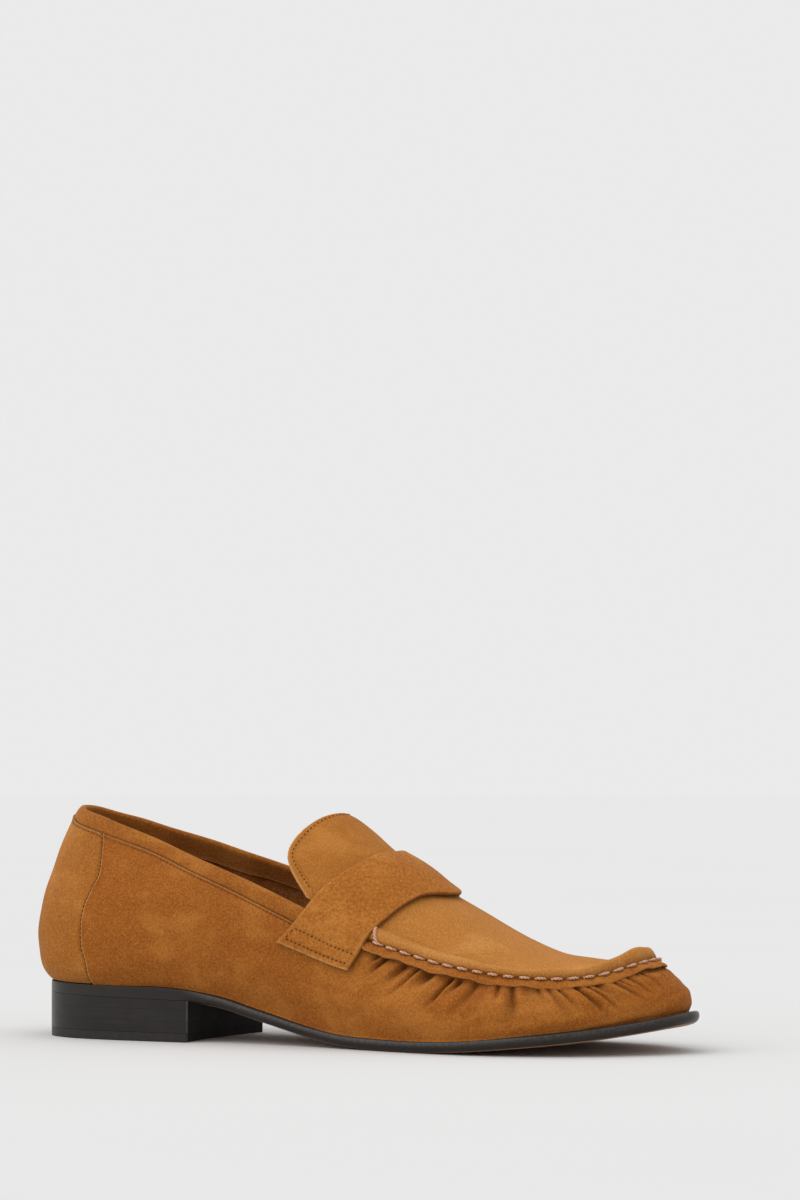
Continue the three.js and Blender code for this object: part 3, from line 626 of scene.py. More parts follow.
# painted shade: a darker, duller copy of the heel leather for the breast, which lies in shade
HEEL_BREAST_SHADE = stained_leather("stained leather, breast in painted shade", (.006, .0045, .0035),
                             (.011, .0085, .007), .6, .1, .08)
RUBBER = rubber_finish()
THREAD = thread_finish("hand-sewing thread", (.64, .385, .265), (.38, .18, .1))
DARK_THREAD = thread_finish("machine thread", (.10, .03, .005), (.05, .014, .003))
BOARD = fibre_finish("insole board", (.46, .33, .2), (.36, .25, .15), 700)
CORK = fibre_finish("cork", (.42, .26, .13), (.25, .14, .06), 380)
STIFF = fibre_finish("stiffener", (.66, .56, .41), (.56, .46, .33), 900)
STEEL = steel_finish()

# ---- Upper ----
seam_around = np.linspace(GATHER_FROM, 2 * PI - GATHER_FROM, 900)
seam_line = top_edge(seam_around)
seam_distance = distances(seam_line)
SEAM_LENGTH = seam_distance[-1]


def seam_at(around):
    """Distance along the apron seam, from the strap on the outer side."""
    return np.interp(np.mod(around, 2 * PI), seam_around, seam_distance)


def wall_height(around):
    """Height of the top edge over the sole."""
    head = top_edge(around)
    return head[..., 2] - SOLE_HEIGHT(head[..., 0])


def gather_folds(around, drop):
    """The vamp's gathers: rounded puffs, 0, between narrow valleys, 1 deep. The valleys fan out,
    leaning to the heel beside the strap and to the toe further on, and widen and fade as they go
    down from the seam; drop is millimetres below it."""
    place = seam_at(around)
    side = np.sign(place - SEAM_LENGTH / 2)
    from_toe = np.abs(place - SEAM_LENGTH / 2)
    lean = np.interp(from_toe, [0, 8, 20, 40, 56, 80, 130], [0, -.1, -.25, -.1, .25, .8, 1.05])
    shifted = from_toe - lean * drop
    count = np.interp(shifted, [-25, 0, 10, 24, 48, 130], [-8, 0, 3.2, 7.2, 12.6, 26.4])
    phase = count + .24 * np.sin(2.3 * count + 2 * side) + .12 * np.sin(5.1 * count + side)
    ridge = np.abs(np.sin(PI * phase))
    shape = 1 - ridge**(.8 + .9 * smooth(1, 14, drop))
    number = np.round(phase)
    uneven = .8 + .2 * np.sin(4.7 * number + 1.3 * side)
    reach = (17 + 6 * np.sin(2.9 * number + side)) * (.55 + .45 * smooth(6, 36, from_toe))
    fade = 1 - smooth(.1, 1, drop / reach)
    size = fade * (.55 + .45 * smooth(4, 26, from_toe)) * smooth(0, 3.5, drop)
    return shape * uneven * size * smooth(GATHER_FROM, GATHER_FROM + .07, fold(around))


def bell(distance, width):
    """1 at distance 0, falling as a bell curve."""
    return np.exp(-(distance / width)**2)


def soft_dents(around, v):
    """Slight unevenness of the wall, in millimetres: a few long waves that cross at slants."""
    a, h = 40 * np.mod(around, 2 * PI), 60 * v
    return (.22 * np.sin(.13 * a + .07 * h + 1) + .2 * np.sin(.21 * h - .09 * a)
            + .12 * np.sin(.33 * a + .19 * h + 2) + .1 * np.sin(.47 * h - .31 * a + 4))


def past_panel(around, v):
    """How far in front of the heel panel's edge a place lies, in radians of station."""
    return fold(around) - PANEL_EDGE(v)


def collar_ridge(near_collar):
    """Leather that rises towards the collar's seam, with a groove pulled in by the stitches."""
    return bell(near_collar, 1.1) - .7 * bell(near_collar - .95, .45)


def follow_panel(station, v):
    """Stations moved so that the one at the panel's middle edge lies on the panel's curved edge."""
    middle = PANEL_EDGE(.5)
    hold = smooth(.2, middle, station) * (1 - smooth(middle, 1.1, station))
    return station + (PANEL_EDGE(v) - middle) * hold


def upper_wall():
    """Vamp and quarters, right round the shoe. The outside is the wall, pressed in by the gathers,
    raised along its collar and panel edges and dipping under the heel panel; the inside is the same
    surface one leather deeper."""
    middle = float(PANEL_EDGE(.5))
    half = np.concatenate([np.linspace(0, middle - .03, 26), np.linspace(middle - .026, middle + .05, 22),
                           np.linspace(middle + .058, 1.69, 84), np.linspace(1.695, PI, 360)])[:, None]
    climb = np.r_[0, 0, np.linspace(0, .9, 54)[1:], np.linspace(.9, 1, 15)[1:]][None, :]
    lowered = np.r_[1, np.zeros(climb.size - 1)][None, :]
    top = np.where(half > COLLAR_END, 1.0, COLLAR_SHARE(half))
    v = climb * top
    station = follow_panel(half, v)
    around = np.concatenate([station, (2 * PI - station)[-2:0:-1]])
    v = np.concatenate([v, v[-2:0:-1]])
    top = np.concatenate([top, top[-2:0:-1]])
    height = wall_height(around)
    drop = (1 - v) * height
    valleys = gather_folds(around, np.maximum(drop - .8, 0))
    toe = smooth(2.15, 2.7, fold(around))
    swell = ((PUFF_SWELL * (1 - toe) * smooth(3, 9, drop) * (1 - smooth(9, 24, drop))
              + TOE_SWELL * toe * np.sin(PI * v) * (1 - smooth(.66, .98, v) * .8))
             * smooth(GATHER_FROM, GATHER_FROM + .1, fold(around)))
    at_toe = smooth(2.05, 2.3, fold(around))
    fold_depth = GATHER_DEPTH + (TOE_GATHER_DEPTH + swell - GATHER_DEPTH) * at_toe
    below = np.where(fold(around) > GATHER_FROM, drop, 99)
    under_edge = bell(below - 3.4, 1.5)
    behind = past_panel(around, v)
    tucked = 1 - smooth(-.012, .003, behind)
    panel_rim = bell(behind - .009, .0075)
    near_collar = np.where(fold(around) <= COLLAR_END, (top - v) * height, 99)
    depth = (valleys * fold_depth - swell + under_edge * .25 + tucked * (PANEL_LEATHER + GAP + .1)
             - panel_rim * .42 * (1 - tucked) - collar_ridge(near_collar) * .34 + soft_dents(around, v))
    front = under_wall(around, v, depth)
    front = front - UP * (lowered * .5)[..., None]
    back = under_wall(around, v, depth + LEATHER)
    raw = np.maximum(bell(behind - .005, .003) * (1 - tucked), bell(near_collar, .3)) * .6
    # painted shade: darker in the gathers' valleys, under the vamp's edge, along the stitch groove below
    # the collar and where the wall runs under the heel panel
    valley = np.clip(valleys * 1.25, 0, 1)**1.15 * (.85 - .1 * toe)
    groove = bell(below, 1.0) + under_edge * .4
    row = bell(near_collar - .8, .35) * .5
    marks = {"raw": raw, "crease": np.clip(valley + groove + row + tucked * .9, 0, 1)}
    return sheet("vamp_and_quarters", front, back, "suede", SUEDE, ring=True, marks=marks,
                 replaces=["vamp_quarter"])


def heel_panel():
    """Panel over the back of the heel; the quarters overlap its front edges."""
    v = np.linspace(0, 1, 80)[None, :] * PANEL_TOP
    across_share = np.linspace(-1, 1, 150)[:, None]
    around = across_share * (PANEL_EDGE(v) + .002)
    v = v * COLLAR_SHARE(fold(around)) / PANEL_TOP
    near_collar = (COLLAR_SHARE(fold(around)) - v) * wall_height(around)
    edge = bell(1 - np.abs(across_share), .018)
    depth = .12 + edge * .5 - collar_ridge(near_collar) * .34 + soft_dents(around, v)
    back = under_wall(around, v, PANEL_LEATHER + .2 + soft_dents(around, v))
    # painted shade: darker along the borders that run under the quarters and along the stitch groove
    # below the collar
    marks = {"crease": np.clip(edge * .6 + bell(near_collar - .8, .35) * .5, 0, 1),
             "raw": bell(near_collar, .3) * .6}
    return sheet("heel_panel", under_wall(around, v, depth), back, "suede", PANEL_SUEDE, marks=marks,
                 replaces=["heel_panel"])


def lining_depth(station, v):
    """Depth of the lining's outer face: behind the upper, the heel panel and the stiffeners, and
    close to the leather again near the collar."""
    panel = (PANEL_LEATHER + GAP) * (1 - smooth(.64, .74, station))
    stiff = (STIFFENER + GAP) * (1 - smooth(1.02, 1.12, station))
    toe = (STIFFENER + GAP) * smooth(2.25, 2.4, station)
    full = panel + LEATHER + GAP + stiff + toe
    gathers = 2.6 * smooth(1.68, 1.78, station) * (1 - smooth(2.2, 2.3, station)) * smooth(.2, .5, v)
    return full + gathers + (1.5 - full) * smooth(.89, .96, v)


def collar_band():
    """Folded band along the topline. Its section, in millimetres up and in from the top edge: up the
    outside with a slight plumpness, over in a half circle and down the inside; swept from strap to
    strap. The skin's inner face is the same section moved in by one leather."""
    around = np.linspace(-COLLAR_END, COLLAR_END, 460)[:, None]
    station = fold(around)
    height = wall_height(around)
    seam = (COLLAR_SHARE(station) - 1) * height - 1.2
    s = np.linspace(0, 1, 44)[None, :]
    up, over, down = np.clip(s / .4, 0, 1), np.clip((s - .4) / .25, 0, 1), np.clip((s - .65) / .35, 0, 1)
    climb = (seam - (COLLAR_RADIUS + seam) * up + COLLAR_RADIUS * np.sin(over * PI)
             + (COLLAR_RADIUS - COLLAR_INSIDE) * down)
    inner_depth = lining_depth(station, 1 - COLLAR_INSIDE / height) + LINING + .7
    deep = (.55 - .5 * np.sin(PI * up * .9) + COLLAR_RADIUS * (1 - np.cos(over * PI))
            + (inner_depth - 2 * COLLAR_RADIUS) * down)
    up_step, in_step = np.gradient(climb, axis=1), np.gradient(deep, axis=1)
    size = np.hypot(up_step, in_step)
    outer = under_wall(around, 1 + climb / height, deep)
    inner = under_wall(around, 1 + (climb - in_step / size) / height, deep + up_step / size)
    # painted shade: darker along the band's lower edge at its seam and over its inner side, inside the
    # shoe
    low_edge = bell(climb - seam - 1.2, .5) * (s < .4)
    inside = smooth(.62, .7, s)
    flap_edge = bell(climb + COLLAR_INSIDE - .5, .5) * inside
    marks = {"crease": np.clip(low_edge * .9 + inside * .55, 0, 1), "raw": flap_edge * .08}
    return sheet("collar_band", outer, inner, "suede", COLLAR_SUEDE, marks=marks,
                 replaces=["collar_band"])


def inside_sheet(name, ends, top, through_toe):
    """A lining on the wall's inside, from end to end round the heel or the toe."""
    around = np.linspace(ends, 2 * PI - ends, 300) if through_toe else np.linspace(-ends, ends, 300)
    around = around[:, None]
    station = fold(around)
    v = FOOT_SHARE(station) + (top - FOOT_SHARE(station)) * np.linspace(0, 1, 56)[None, :]
    depth = lining_depth(station, v)
    # painted shade: the lining darkens towards its foot, deep inside the shoe
    marks = {"crease": (1 - smooth(.2, .9, v)) * .5, "raw": 0 * v}
    front, back = under_wall(around, v, depth), under_wall(around, v, depth + LINING)
    return sheet(name, front, back, "lining", LINING_SUEDE, marks=marks, replaces=[name])


def apron_surface(around, e):
    """Apron: e from 0 to 1 is the upturned rim, from 1 to 2 the crown in to the middle line."""
    around, e = np.broadcast_arrays(around * 1.0, e * 1.0)
    station = fold(around)
    edge = top_edge(around)
    spine_x = np.interp(edge[..., 0], [APRON_START, 165, 200, 235, 249], [152, 178, 202, 217, 222])
    inner = station_of(spine_x)
    middle = np.stack([spine_x, (TOP_OUTER(inner) + TOP_INNER(inner)) / 2, 0 * spine_x], -1)
    reach = middle - edge
    reach[..., 2] = 0
    width = np.linalg.norm(reach, axis=-1)
    taller = .8 + .1 * smooth(1.75, 1.9, station) + .75 * smooth(2.3, 3.1, station)
    height = LIP_UP(np.clip(e, 0, 1)) * taller
    lean = np.maximum(height, 0) * .55 * smooth(2.6, 3.05, station)
    inward = np.where(e < 1, LIP_IN(np.clip(e, 0, 1)), RIM_WIDTH + (width - RIM_WIDTH) * (e - 1))
    point = edge + reach / width[..., None] * (inward + lean)[..., None]
    inside_x = np.clip(point[..., 0], 0, TOPLINE_BACK + TOPLINE_LENGTH - .4)
    low, high = TOP_OUTER(station_of(inside_x)), TOP_INNER(station_of(inside_x))
    t = np.clip((2 * point[..., 1] - low - high) / (high - low), -1, 1)
    rim = height * (1 + .05 * np.sin(seam_at(around) / 5.3) + .04 * np.sin(seam_at(around) / 2.9 + 1))
    point[..., 2] = crown_height(inside_x, t) + rim
    return point


def apron():
    """The whole apron: rows from the strap to the toe, each running up over the outer rim, across the
    crown and down over the inner rim; the last row, at the toe's tip, is folded onto itself."""
    start = float(station_of(APRON_START))
    around = np.linspace(start, PI, 270)[:, None]
    e = np.concatenate([np.linspace(0, 1, 28), 1 + np.linspace(0, 1, 26)[1:]])
    e = np.r_[e, e[-2::-1]][None, :]
    inner_half = np.arange(e.size)[None, :] > e.size // 2
    around = np.where(inner_half, 2 * PI - around, around)
    front = apron_surface(around, e)
    inside = start + .003
    away = np.where(inner_half, np.clip(around, PI, 2 * PI - inside), np.clip(around, inside, PI))
    normals = normal_of(apron_surface, away, np.clip(e + 0 * around, .012, 1.97), .002, .01)
    back = front - normals * np.minimum(LEATHER, .3 + e * 3)[..., None]
    rows, columns = around.shape
    top = quads(rows, columns)
    r, c = np.arange(rows - 1), np.arange(columns - 1)
    under = rows * columns
    start_wall = np.stack([c + 1, c, c + under, c + 1 + under], -1)
    r = r * columns
    outer_wall = np.stack([r, r + columns, r + columns + under, r + under], -1)
    inner_wall = outer_wall[:, ::-1] + columns - 1
    faces = np.concatenate([top, top[:, ::-1] + under, start_wall, outer_wall, inner_wall])
    points = np.concatenate([front.reshape(-1, 3), back.reshape(-1, 3)])
    station = fold(around)
    # painted shade: darker in the groove at the seam and in the valley behind the rim, deeper towards the
    # toe
    groove = bell(e, .15) * .95 + 0 * station
    valley = bell(e - .9, .1) * (.2 + .25 * smooth(2.4, 3, station))
    # painted highlight: a pale band along the top of the rim's roll
    roll = bell(e - .45, .08) * .2 + 0 * station
    marks = {"raw": roll, "crease": np.clip(groove + valley, 0, 1)}
    made = piece("apron", points, faces, "apron_suede", APRON_SUEDE, replaces=["apron"],
                 marks={k: np.tile(np.ravel(v), 2) for k, v in marks.items()})
    weld(made)
    return made


def vamp_edge():
    """The vamp's cut edge, standing out below the apron seam like a small eave: a flat strip with a
    wavy outer border that follows the gathers. Its section is a rounded bar, swept along the seam."""
    around = np.linspace(GATHER_FROM - .02, 2 * PI - GATHER_FROM + .02, 1000)[:, None]
    turn = np.linspace(0, 2 * PI, 24, endpoint=False)[None, :]
    place = seam_at(around)
    wave = (.32 * np.sin(2 * PI * place / 9.4 + .8 * np.sin(place / 13))
            + .1 * np.sin(2 * PI * place / 4.7 + 1) + .5 * np.sin(2 * PI * place / 23))
    c, s = np.cos(turn), np.sin(turn)
    width = FLANGE_WIDTH + .35 * wave + .5 * smooth(2.85, PI, fold(around))
    along = (1 + np.sign(c) * np.abs(c)**.6) * width / 2 - .5
    through = np.sign(s) * np.abs(s)**.75 * FLANGE_THICKNESS / 2
    droop = np.radians(43) + .2 * wave - .5 * smooth(2.7, PI, fold(around))
    out = outward(around)
    way = out * np.cos(droop)[..., None] - UP * np.sin(droop)[..., None]
    face = out * np.sin(droop)[..., None] + UP * np.cos(droop)[..., None]
    points = top_edge(around) - UP * .9 + way * along[..., None] + face * through[..., None]
    faces = np.concatenate([quads(len(around), 24), wrap_faces(len(around), 24)])
    raw = bell(c - .93, .1) * .3 + 0 * around
    # painted shade: darker on the strip's underside and along its inner border at the seam, under the
    # eave
    under = np.clip(smooth(-.1, -.7, s) * .8 + smooth(-.55, -.95, c), 0, 1) + 0 * around
    return piece("vamp_edge", points, facing_out(points.reshape(-1, 3), faces), "suede", SUEDE,
                 marks={"raw": raw, "crease": np.clip(under, 0, 1)})


def apron_stitches():
    """Hand-sewn stitches between the apron's rim and the vamp's edge, one every few millimetres, and
    one upright bar over the rim beside the strap on each side."""
    around = np.linspace(GATHER_FROM + .02, 2 * PI - GATHER_FROM - .02, 1200)
    normals = unit(outward(around) + UP * .25)
    path = top_edge(around) + outward(around) * .5 + UP * .15
    stitches = stitch_run(path, normals, STITCH_PITCH, STITCH_THICKNESS, fill=.74, sink=1.1)
    bars = []
    for side in (GATHER_FROM + .045, 2 * PI - GATHER_FROM - .045):
        e = np.linspace(.04, .62, 12)
        place = side + np.linspace(0, .02, 12) * np.sign(side - PI)
        line = apron_surface(place, e)
        lift = normal_of(apron_surface, place, e, .002, .01) * .3
        bars.append(tube(line + lift, np.full(12, .66), 8))
    points, faces = gathered([stitches, *bars])
    return piece("apron_stitches", points, faces, "thread", THREAD, replaces=["apron_seam_thread"])


def rounded(distance, radius):
    """Share of a sheet's half thickness near its border: a quarter ellipse that ends just open."""
    return .12 + .88 * np.sqrt(1 - (1 - np.clip(distance / radius, 0, 1))**2)


def strap_place(q, w):
    """Place along the shoe: w runs from the strap's rear edge, 0, to its front edge, 1."""
    return STRAP_REAR(np.abs(q)) + (STRAP_FRONT(np.abs(q)) - STRAP_REAR(np.abs(q))) * w


def saddle_strap():
    """Strap over the instep: between its rear and front edges, lifted off the crown by a low bulge,
    with softly folded long edges and cut ends."""
    q = np.r_[-STRAP_END, np.linspace(-STRAP_END + .008, STRAP_END - .008, 300), STRAP_END][:, None]
    w = (.5 - .5 * np.cos(np.linspace(0, PI, 60)))[None, :]
    x = strap_place(q, w)
    long_edge, end = np.minimum(w, 1 - w) * STRAP_WIDTH, (STRAP_END - np.abs(q)) * STRAP_REACH
    bulge = STRAP_BULGE * np.sin(PI * w) * np.maximum(0, 1 - q * q)
    bulge = bulge + .1 * np.sin(7 * q + 3 * w) + .08 * np.sin(13 * q - 5 * w)
    half = STRAP_LEATHER / 2 * np.minimum(rounded(long_edge, .9), rounded(end, .25))
    proud = .5 * smooth(.72, 1, w) * np.maximum(0, 1 - q * q)
    middle = STRAP_CLEARANCE + STRAP_LEATHER / 2 + bulge + proud
    # painted shade: darker along the stitch rows at the ends and at the very border of the folded long
    # edges
    row = bell(end - 2.4, .5) + bell(end - 6.6, .5)
    crease = np.clip(row * .22 * (long_edge > 2) + bell(long_edge, .3) * .4, 0, 1)
    marks = {"raw": bell(end, .45) * .9 + bell(long_edge - .7, .35) * .12, "crease": crease}
    front, back = over_across(x, q, middle + half), over_across(x, q, middle - half)
    return sheet("saddle_strap", front, back, "strap_suede", STRAP_SUEDE, marks=marks,
                 replaces=["saddle_strap"])


def strap_row(q, w):
    """A row of machine stitches on the strap's upper face."""
    path = over_across(strap_place(q, w), q, STRAP_CLEARANCE + STRAP_LEATHER + 0 * q)
    normals = normal_of(across, strap_place(q, w), q, .5, .03)
    return stitch_run(path, normals, pitch=1.8, thickness=.38, fill=.6, sink=.22)


def strap_stitches():
    """Machine stitching that holds the strap's ends: two rows across and one along the rear edge."""
    parts = []
    for side in (-1, 1):
        for row in (.06, .17):
            parts.append(strap_row(np.full(80, (STRAP_END - row) * side), np.linspace(.07, .95, 80)))
        between_rows = np.linspace(STRAP_END - .06, STRAP_END - .17, 24)
        parts.append(strap_row(between_rows * side, np.full(24, .07)))
    points, faces = gathered(parts)
    return piece("strap_stitches", points, faces, "thread", DARK_THREAD)


def tongue_sheet(name, half, inset, depth, thickness, slot, material, marks_of):
    """Sheet under the crown from the tongue's free edge, moved in by inset, to under the strap. Its
    border thins to a rounded edge; marks_of makes the marks from the distance to the border."""
    t = (half * np.sin(np.linspace(-PI / 2, PI / 2, 170)))[:, None]
    w = np.linspace(0, 1, 70)[None, :]**1.25
    rear = TONGUE_EDGE(np.abs(t)) + inset
    x = rear + (STRAP_REAR(np.abs(t)) + UNDER_STRAP - rear) * w
    border = edge_distance(x, t) - inset
    half_thick = thickness / 2 * rounded(border, .6)
    middle = -depth - thickness / 2
    front, back = over_crown(x, t, middle + half_thick), over_crown(x, t, middle - half_thick)
    made = sheet(name, front, back, slot, material, replaces=[name], body=None, marks=marks_of(border))
    return bend_with_tongue(made)


def edge_distance(x, t):
    """Distance from the tongue's free edge in millimetres: the smallest over points of the edge."""
    rim_t = np.linspace(-TONGUE_HALF, TONGUE_HALF, 240)
    rim_x = TONGUE_EDGE(np.abs(rim_t))
    best = np.full(np.broadcast(x, t).shape, 99.0)
    for a, b in zip(rim_x, rim_t):
        best = np.minimum(best, np.hypot(x - a, (t - b) * TONGUE_REACH))
    return best


def tongue():
    """Free tongue: from its rounded edge to under the strap."""
    def marks_of(border):
        # painted shade: a darker line beside the stitch row near the edge
        return {"raw": bell(border, .5) * .95, "crease": bell(border - 2.6, .4) * .25}
    return tongue_sheet("tongue", TONGUE_HALF, 0, 0, TONGUE_LEATHER, "apron_suede", TONGUE_SUEDE,
                        marks_of)


def tongue_lining():
    """Lining behind the tongue, a little smaller all round."""
    def marks_of(border):
        return {"raw": 0 * border, "crease": 0 * border}
    return tongue_sheet("tongue_lining", TONGUE_HALF - .04, 1.2, TONGUE_LEATHER - .05, LINING, "lining",
                        LINING_SUEDE, marks_of)


def bend_with_tongue(made):
    """Bakes the piece's placing into its points; the tongue is not bent here."""
    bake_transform(made)
    return made


def tongue_stitches():
    """One row of fine stitches a little inside the tongue's edge."""
    t = np.linspace(-TONGUE_HALF, TONGUE_HALF, 400)
    rim = np.stack([TONGUE_EDGE(np.abs(t)), t * TONGUE_REACH], -1)
    along = unit(np.gradient(rim, axis=0))
    inner = rim + np.stack([along[:, 1], -along[:, 0]], -1) * 2.0
    x, t = inner[:, 0], inner[:, 1] / TONGUE_REACH
    normals = normal_of(crown, x, t, .05, .004)
    path = over_crown(x, t, -.06)
    points, faces = stitch_run(path, normals, pitch=1.8, thickness=.36, fill=.6, sink=.2)
    made = piece("tongue_stitches", points, faces, "thread", DARK_THREAD, body=None)
    return bend_with_tongue(made)


def collar_stitches():
    """Fine stitches along the quarters' edges, below the collar and beside the heel panel."""
    def row(around, v, depth):
        path = under_wall(around, v, soft_dents(around, v) + depth)
        return stitch_run(path, wall_normal(around, v), pitch=1.7, thickness=.34, fill=.58, sink=.2)

    around = np.linspace(-COLLAR_END + .12, COLLAR_END - .12, 800)
    parts = [row(around, COLLAR_SHARE(fold(around)) - .95 / wall_height(around), .3)]
    v = np.linspace(.03, .9, 240)
    parts += [row(side * (PANEL_EDGE(v) - .004), v, .42) for side in (-1, 1)]
    points, faces = gathered(parts)
    return piece("collar_stitches", points, faces, "thread", DARK_THREAD)


# ---- Sole and heel ----
def outsole():
    """Sole: a closed section swept round the outline. From the middle line it runs out along the top,
    round the edge and back in along the underside. The edge is rounded from the waist forwards and
    upright over the heel, where it is flush with the lifts."""
    around = np.concatenate([np.linspace(0, PI, 300)[:-1], np.linspace(PI, 2 * PI, 300)[:-1]])[:, None]
    # Section: distance in from the edge at the forepart and at the heel, and height, 1 at the top.
    run = np.array([30, 12, 6, 3.2, 2.1, 1.3, .7, .24, .02, .1, .45, 1.1, 2.1, 3.4, 5.5, 9, 14, 30.0])
    flat = np.array([30, 12, 6, 3, 1.7, .9, .06, 0, 0, 0, 0, 0, 0, 2, 5.5, 9, 14, 30.0])
    rise = np.array([1, 1, 1, 1, 1, .985, .93, .8, .62, .42, .24, .11, .03, 0, 0, 0, 0, 0])
    edge = sole_outline(around)
    heel_part = 1 - smooth(BREAST - 4, BREAST + 12, edge[..., 0])
    edge = trimmed(edge)
    profile = run + (flat - run) * heel_part
    x_mid = np.clip(edge[..., 0], 26, 240)
    middle = np.stack([x_mid, by_middle(x_mid), 0 * x_mid], -1)
    reach = middle - edge
    width = np.linalg.norm(reach, axis=-1)
    inward = np.where(profile >= 30, width, np.minimum(profile, width * .8))
    plan = edge + reach / width[..., None] * inward[..., None]
    top, bottom = SOLE_HEIGHT(plan[..., 0]), underside(plan[..., 0])
    points = np.stack([plan[..., 0], plan[..., 1], bottom + (top - bottom) * rise], -1)
    faces = quads(len(around), len(run), ring=True)
    under = smooth(1.2, 2.2, profile) * (rise < .1)
    # painted highlight: a band along the upper shoulder of the edge, forward of the heel
    painted_edge_highlight = bell(rise - .74, .16) * (1 - heel_part) * (profile < 2)
    made = piece("outsole", points, faces, "sole_leather", SOLE, replaces=["outsole"],
                 marks={"underside": np.broadcast_to(under, inward.shape), "painted_edge_highlight": painted_edge_highlight})
    weld(made)
    made.data.set_sharp_from_angle(angle=np.radians(50))
    return made


def by_middle(x):
    """Middle of the sole's outline at a place along it."""
    station = np.arccos(1 - 2 * np.clip(x * MM / SOLE_LENGTH, 0, 1))
    return (SOLE_OUTER(station) + SOLE_INNER(station)) / 2


def underside(x):
    """Height of the sole's lower face: the sloping heel seat, then one sole's thickness under the top."""
    seat = HEEL_SEAT - SEAT_DROP * x
    arch = SOLE_HEIGHT(x) - SOLE_THICKNESS
    return np.maximum(seat + (arch - seat) * smooth(BREAST, BREAST + 5, x), .03)


def weld(made):
    """Joins points that lie together and turns the faces outwards."""
    body = bmesh.new()
    body.from_mesh(made.data)
    bmesh.ops.remove_doubles(body, verts=body.verts, dist=.02 * MM)
    bmesh.ops.recalc_face_normals(body, faces=body.faces)
    body.to_mesh(made.data)
    body.free()
    made.data.shade_smooth()


def trimmed(points):
    """The outline with its heel end trimmed, fading out over the first 40 millimetres."""
    shorter = HEEL_TRIM * (1 - smooth(0, 40, points[..., 0]))
    return points + np.array([1.0, 0, 0]) * shorter[..., None]


def heel_outline(inset):
    """Heel seen from above: the sole's outline round the back, and a hollow front between its corners."""
    end = np.arccos(1 - 2 * BREAST * MM / SOLE_LENGTH)
    around = np.linspace(end, -end, 150)
    back = trimmed(on_sole(around, np.full(150, inset), 0))[:, :2]
    t = np.linspace(-1, 1, FRONT_POINTS + 2)[1:-1]
    middle, width = (back[0, 1] + back[-1, 1]) / 2, (back[-1, 1] - back[0, 1]) / 2
    front = np.stack([BREAST - BREAST_HOLLOW * (1 - t * t), middle - t * width], -1)
    return np.concatenate([back, front])


def heel_layer(name, inset, material, slot, low, high, round_off=.03):
    """A slab of the heel between two heights, given as functions of x, its edge slightly rounded:
    outlines joined by rings, closed by one face above and one below. The front, the breast, takes a
    darker copy of the heel leather as painted shade."""
    rings = []
    for extra, height in ((round_off, 0), (0, round_off), (0, -round_off), (round_off, 0)):
        outline = heel_outline(inset + extra)
        base = low(outline[:, 0]) if len(rings) < 2 else high(outline[:, 0])
        rings.append(np.column_stack([outline, base + height]))
    count = len(rings[0])
    this = np.arange(count)
    after = (this + 1) % count
    band = np.stack([this, after, after + count, this + count], -1)
    faces = np.concatenate([band, band + count, band + 2 * count]).tolist()
    faces += [this[::-1].tolist(), (this + 3 * count).tolist()]
    thing = piece(name, np.concatenate(rings), faces, slot, material, replaces=[name])
    # painted shade: the breast's faces take the darker copy of the heel leather
    thing.data.materials.append(HEEL_BREAST_SHADE)
    front_from = count - FRONT_POINTS - 1
    in_front = [int(len(face) == 4 and min(face) % count >= front_from) for face in faces]
    thing.data.polygons.foreach_set("material_index", in_front)
    weld(thing)
    thing.data.set_sharp_from_angle(angle=np.radians(35))
    return thing


def heel():
    """Rubber top piece and three leather lifts; the uppermost follows the slope of the heel seat."""
    def level(z):
        return lambda x: z + 0 * x

    def seat(x):
        return HEEL_SEAT - SEAT_DROP * x + .02

    floors = [level(z) for z in LIFT_LEVELS] + [seat]
    heel_layer("top_piece", .12, RUBBER, "heel_rubber", floors[0], floors[1], .12)
    for number, inset in ((1, .04), (2, .03), (3, 0)):
        heel_layer(f"heel_lift_{number}", inset, HEEL, "heel_leather", floors[number], floors[number + 1])


def sock_liner():
    """Lining over the insole: a plate a little inside the walls, its rim turned up against them."""
    around = np.concatenate([np.linspace(0, PI, 160)[:-1], np.linspace(PI, 2 * PI, 160)[:-1]])[:, None]
    s = np.linspace(0, 1, 14)[None, :]
    edge = on_sole(around, 4.2, 0)
    x_mid = np.clip(edge[..., 0], 30, 232)
    middle = np.stack([x_mid, by_middle(x_mid), 0 * x_mid], -1)
    plan = edge + (middle - edge) * s[..., None]
    rim = 2.6 * np.exp(-s * 12)
    top = np.stack([plan[..., 0], plan[..., 1], SOLE_HEIGHT(plan[..., 0]) + SOCK_LEVEL + rim], -1)
    made = sheet("sock_liner", top, top - UP, "lining", LINING_SUEDE, ring=True, replaces=["sock_liner"])
    weld(made)
    return made


# ---- Assembly ----
upper_wall()
heel_panel()
collar_band()
apron()
vamp_edge()
apron_stitches()
saddle_strap()
strap_stitches()
tongue()
tongue_lining()
tongue_stitches()
collar_stitches()
inside_sheet("quarter_lining", 1.6, .965, False)
inside_sheet("vamp_lining", 1.605, .86, True)
outsole()
heel()
sock_liner()

carried_over = {"shank": STEEL, "cork_filler": CORK, "insole_board": BOARD, "heel_counter": STIFF,
                "toe_puff": STIFF, "apron_lining": LINING_SUEDE}
carried_over.update({f"heel_nail_{number}": STEEL for number in range(1, 6)})
for node, material in carried_over.items():
    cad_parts[node].data.materials.clear()
    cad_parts[node].data.materials.append(material)


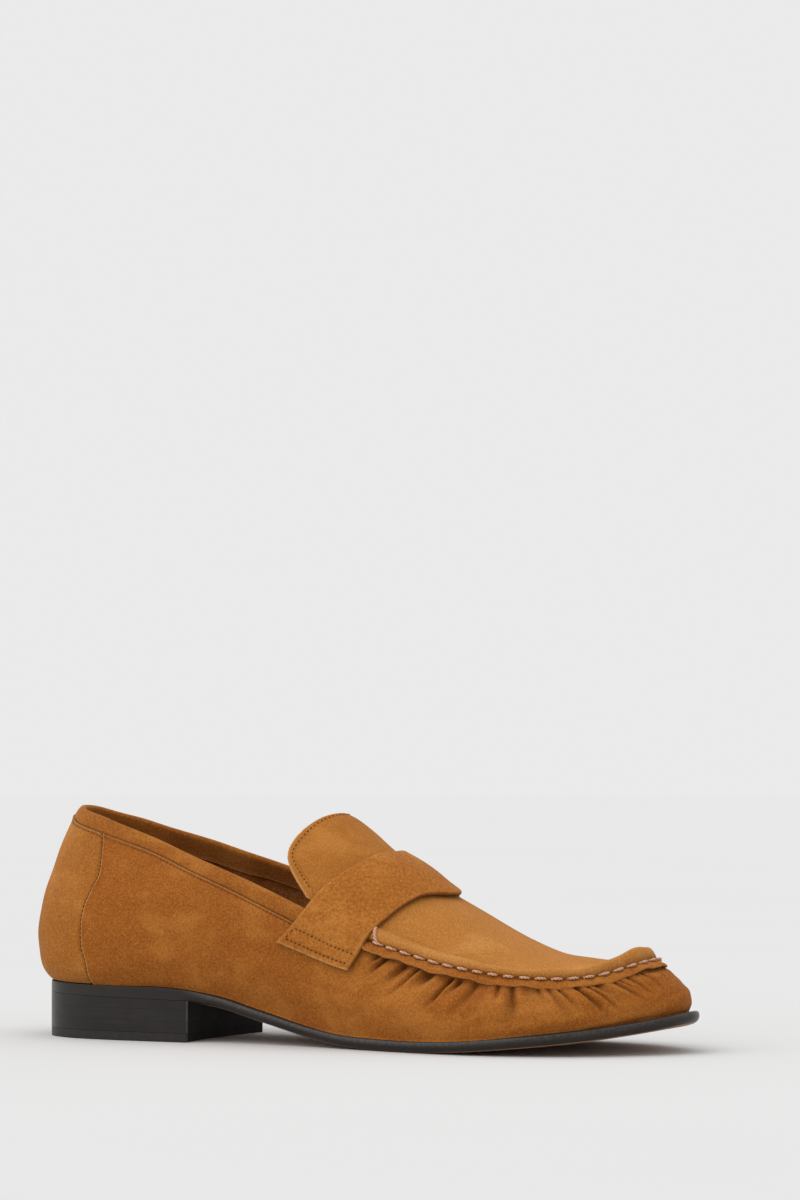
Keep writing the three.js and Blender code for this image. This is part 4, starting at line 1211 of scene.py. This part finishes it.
# ---- Camera, floor and light ----
def camera():
    """Low three-quarter view from the outer side, tipped up a little."""
    lens = bpy.data.cameras.new("camera")
    lens.sensor_width, lens.lens = 36, 101.5
    lens.clip_start, lens.clip_end = .05, 30
    view = placed("camera", lens)
    turn, tilt = np.radians(26.03), np.radians(3.13)
    forward = np.array([-np.sin(turn) * np.cos(tilt), np.cos(turn) * np.cos(tilt), np.sin(tilt)])
    right = np.array([np.cos(turn), np.sin(turn), 0])
    up = np.cross(right, forward)
    spot = np.array([710.8, -1152.1, 97.3]) * MM + ORIGIN
    rows = [[right[k], up[k], -forward[k], spot[k]] for k in range(3)]
    view.matrix_world = Matrix(rows + [[0, 0, 0, 1]])
    bpy.context.scene.camera = view


def studio_floor():
    """Wide level floor, its tone barely uneven."""
    r = Recipe("studio floor")
    tone = r.between(r.noise(3, 2, .5), .3, .7)
    paint = r.finish(Base_Color=r.mix(tone, rgb(.618, .618, .616), rgb(.624, .624, .622)), Roughness=.95,
                     Specular_IOR_Level=0)
    x = np.linspace(-40, 40, 9)
    grid = np.stack(np.broadcast_arrays(x[:, None], x[None, :], 0.0), -1)
    mesh = bpy.data.meshes.new("studio_floor")
    mesh.from_pydata(grid.reshape(-1, 3).tolist(), [], quads(9, 9).tolist())
    mesh.materials.append(paint)
    placed("studio_floor", mesh)


def soft_sun(name, direction, strength, spread):
    """Even light from a wide patch of sky; direction points from the shoe to the light."""
    lamp = bpy.data.lights.new(name, "SUN")
    lamp.energy, lamp.angle = strength, np.radians(spread)
    placed(name, lamp).rotation_euler = Vector(direction).to_track_quat("Z", "Y").to_euler()


def studio_light():
    """Even pale surroundings and two wide lights."""
    world = bpy.data.worlds.new("studio")
    world.use_nodes = True
    backdrop = world.node_tree.nodes["Background"]
    backdrop.inputs["Color"].default_value = (1, 1, 1, 1)
    backdrop.inputs["Strength"].default_value = .825
    bpy.context.scene.world = world
    soft_sun("overhead softbox", (-.15, -.1, 1), 1.0, 75)
    soft_sun("front softbox", (-.55, -.75, .75), .85, 60)
    bpy.context.scene.view_settings.view_transform = "Standard"


camera()
studio_floor()
studio_light()
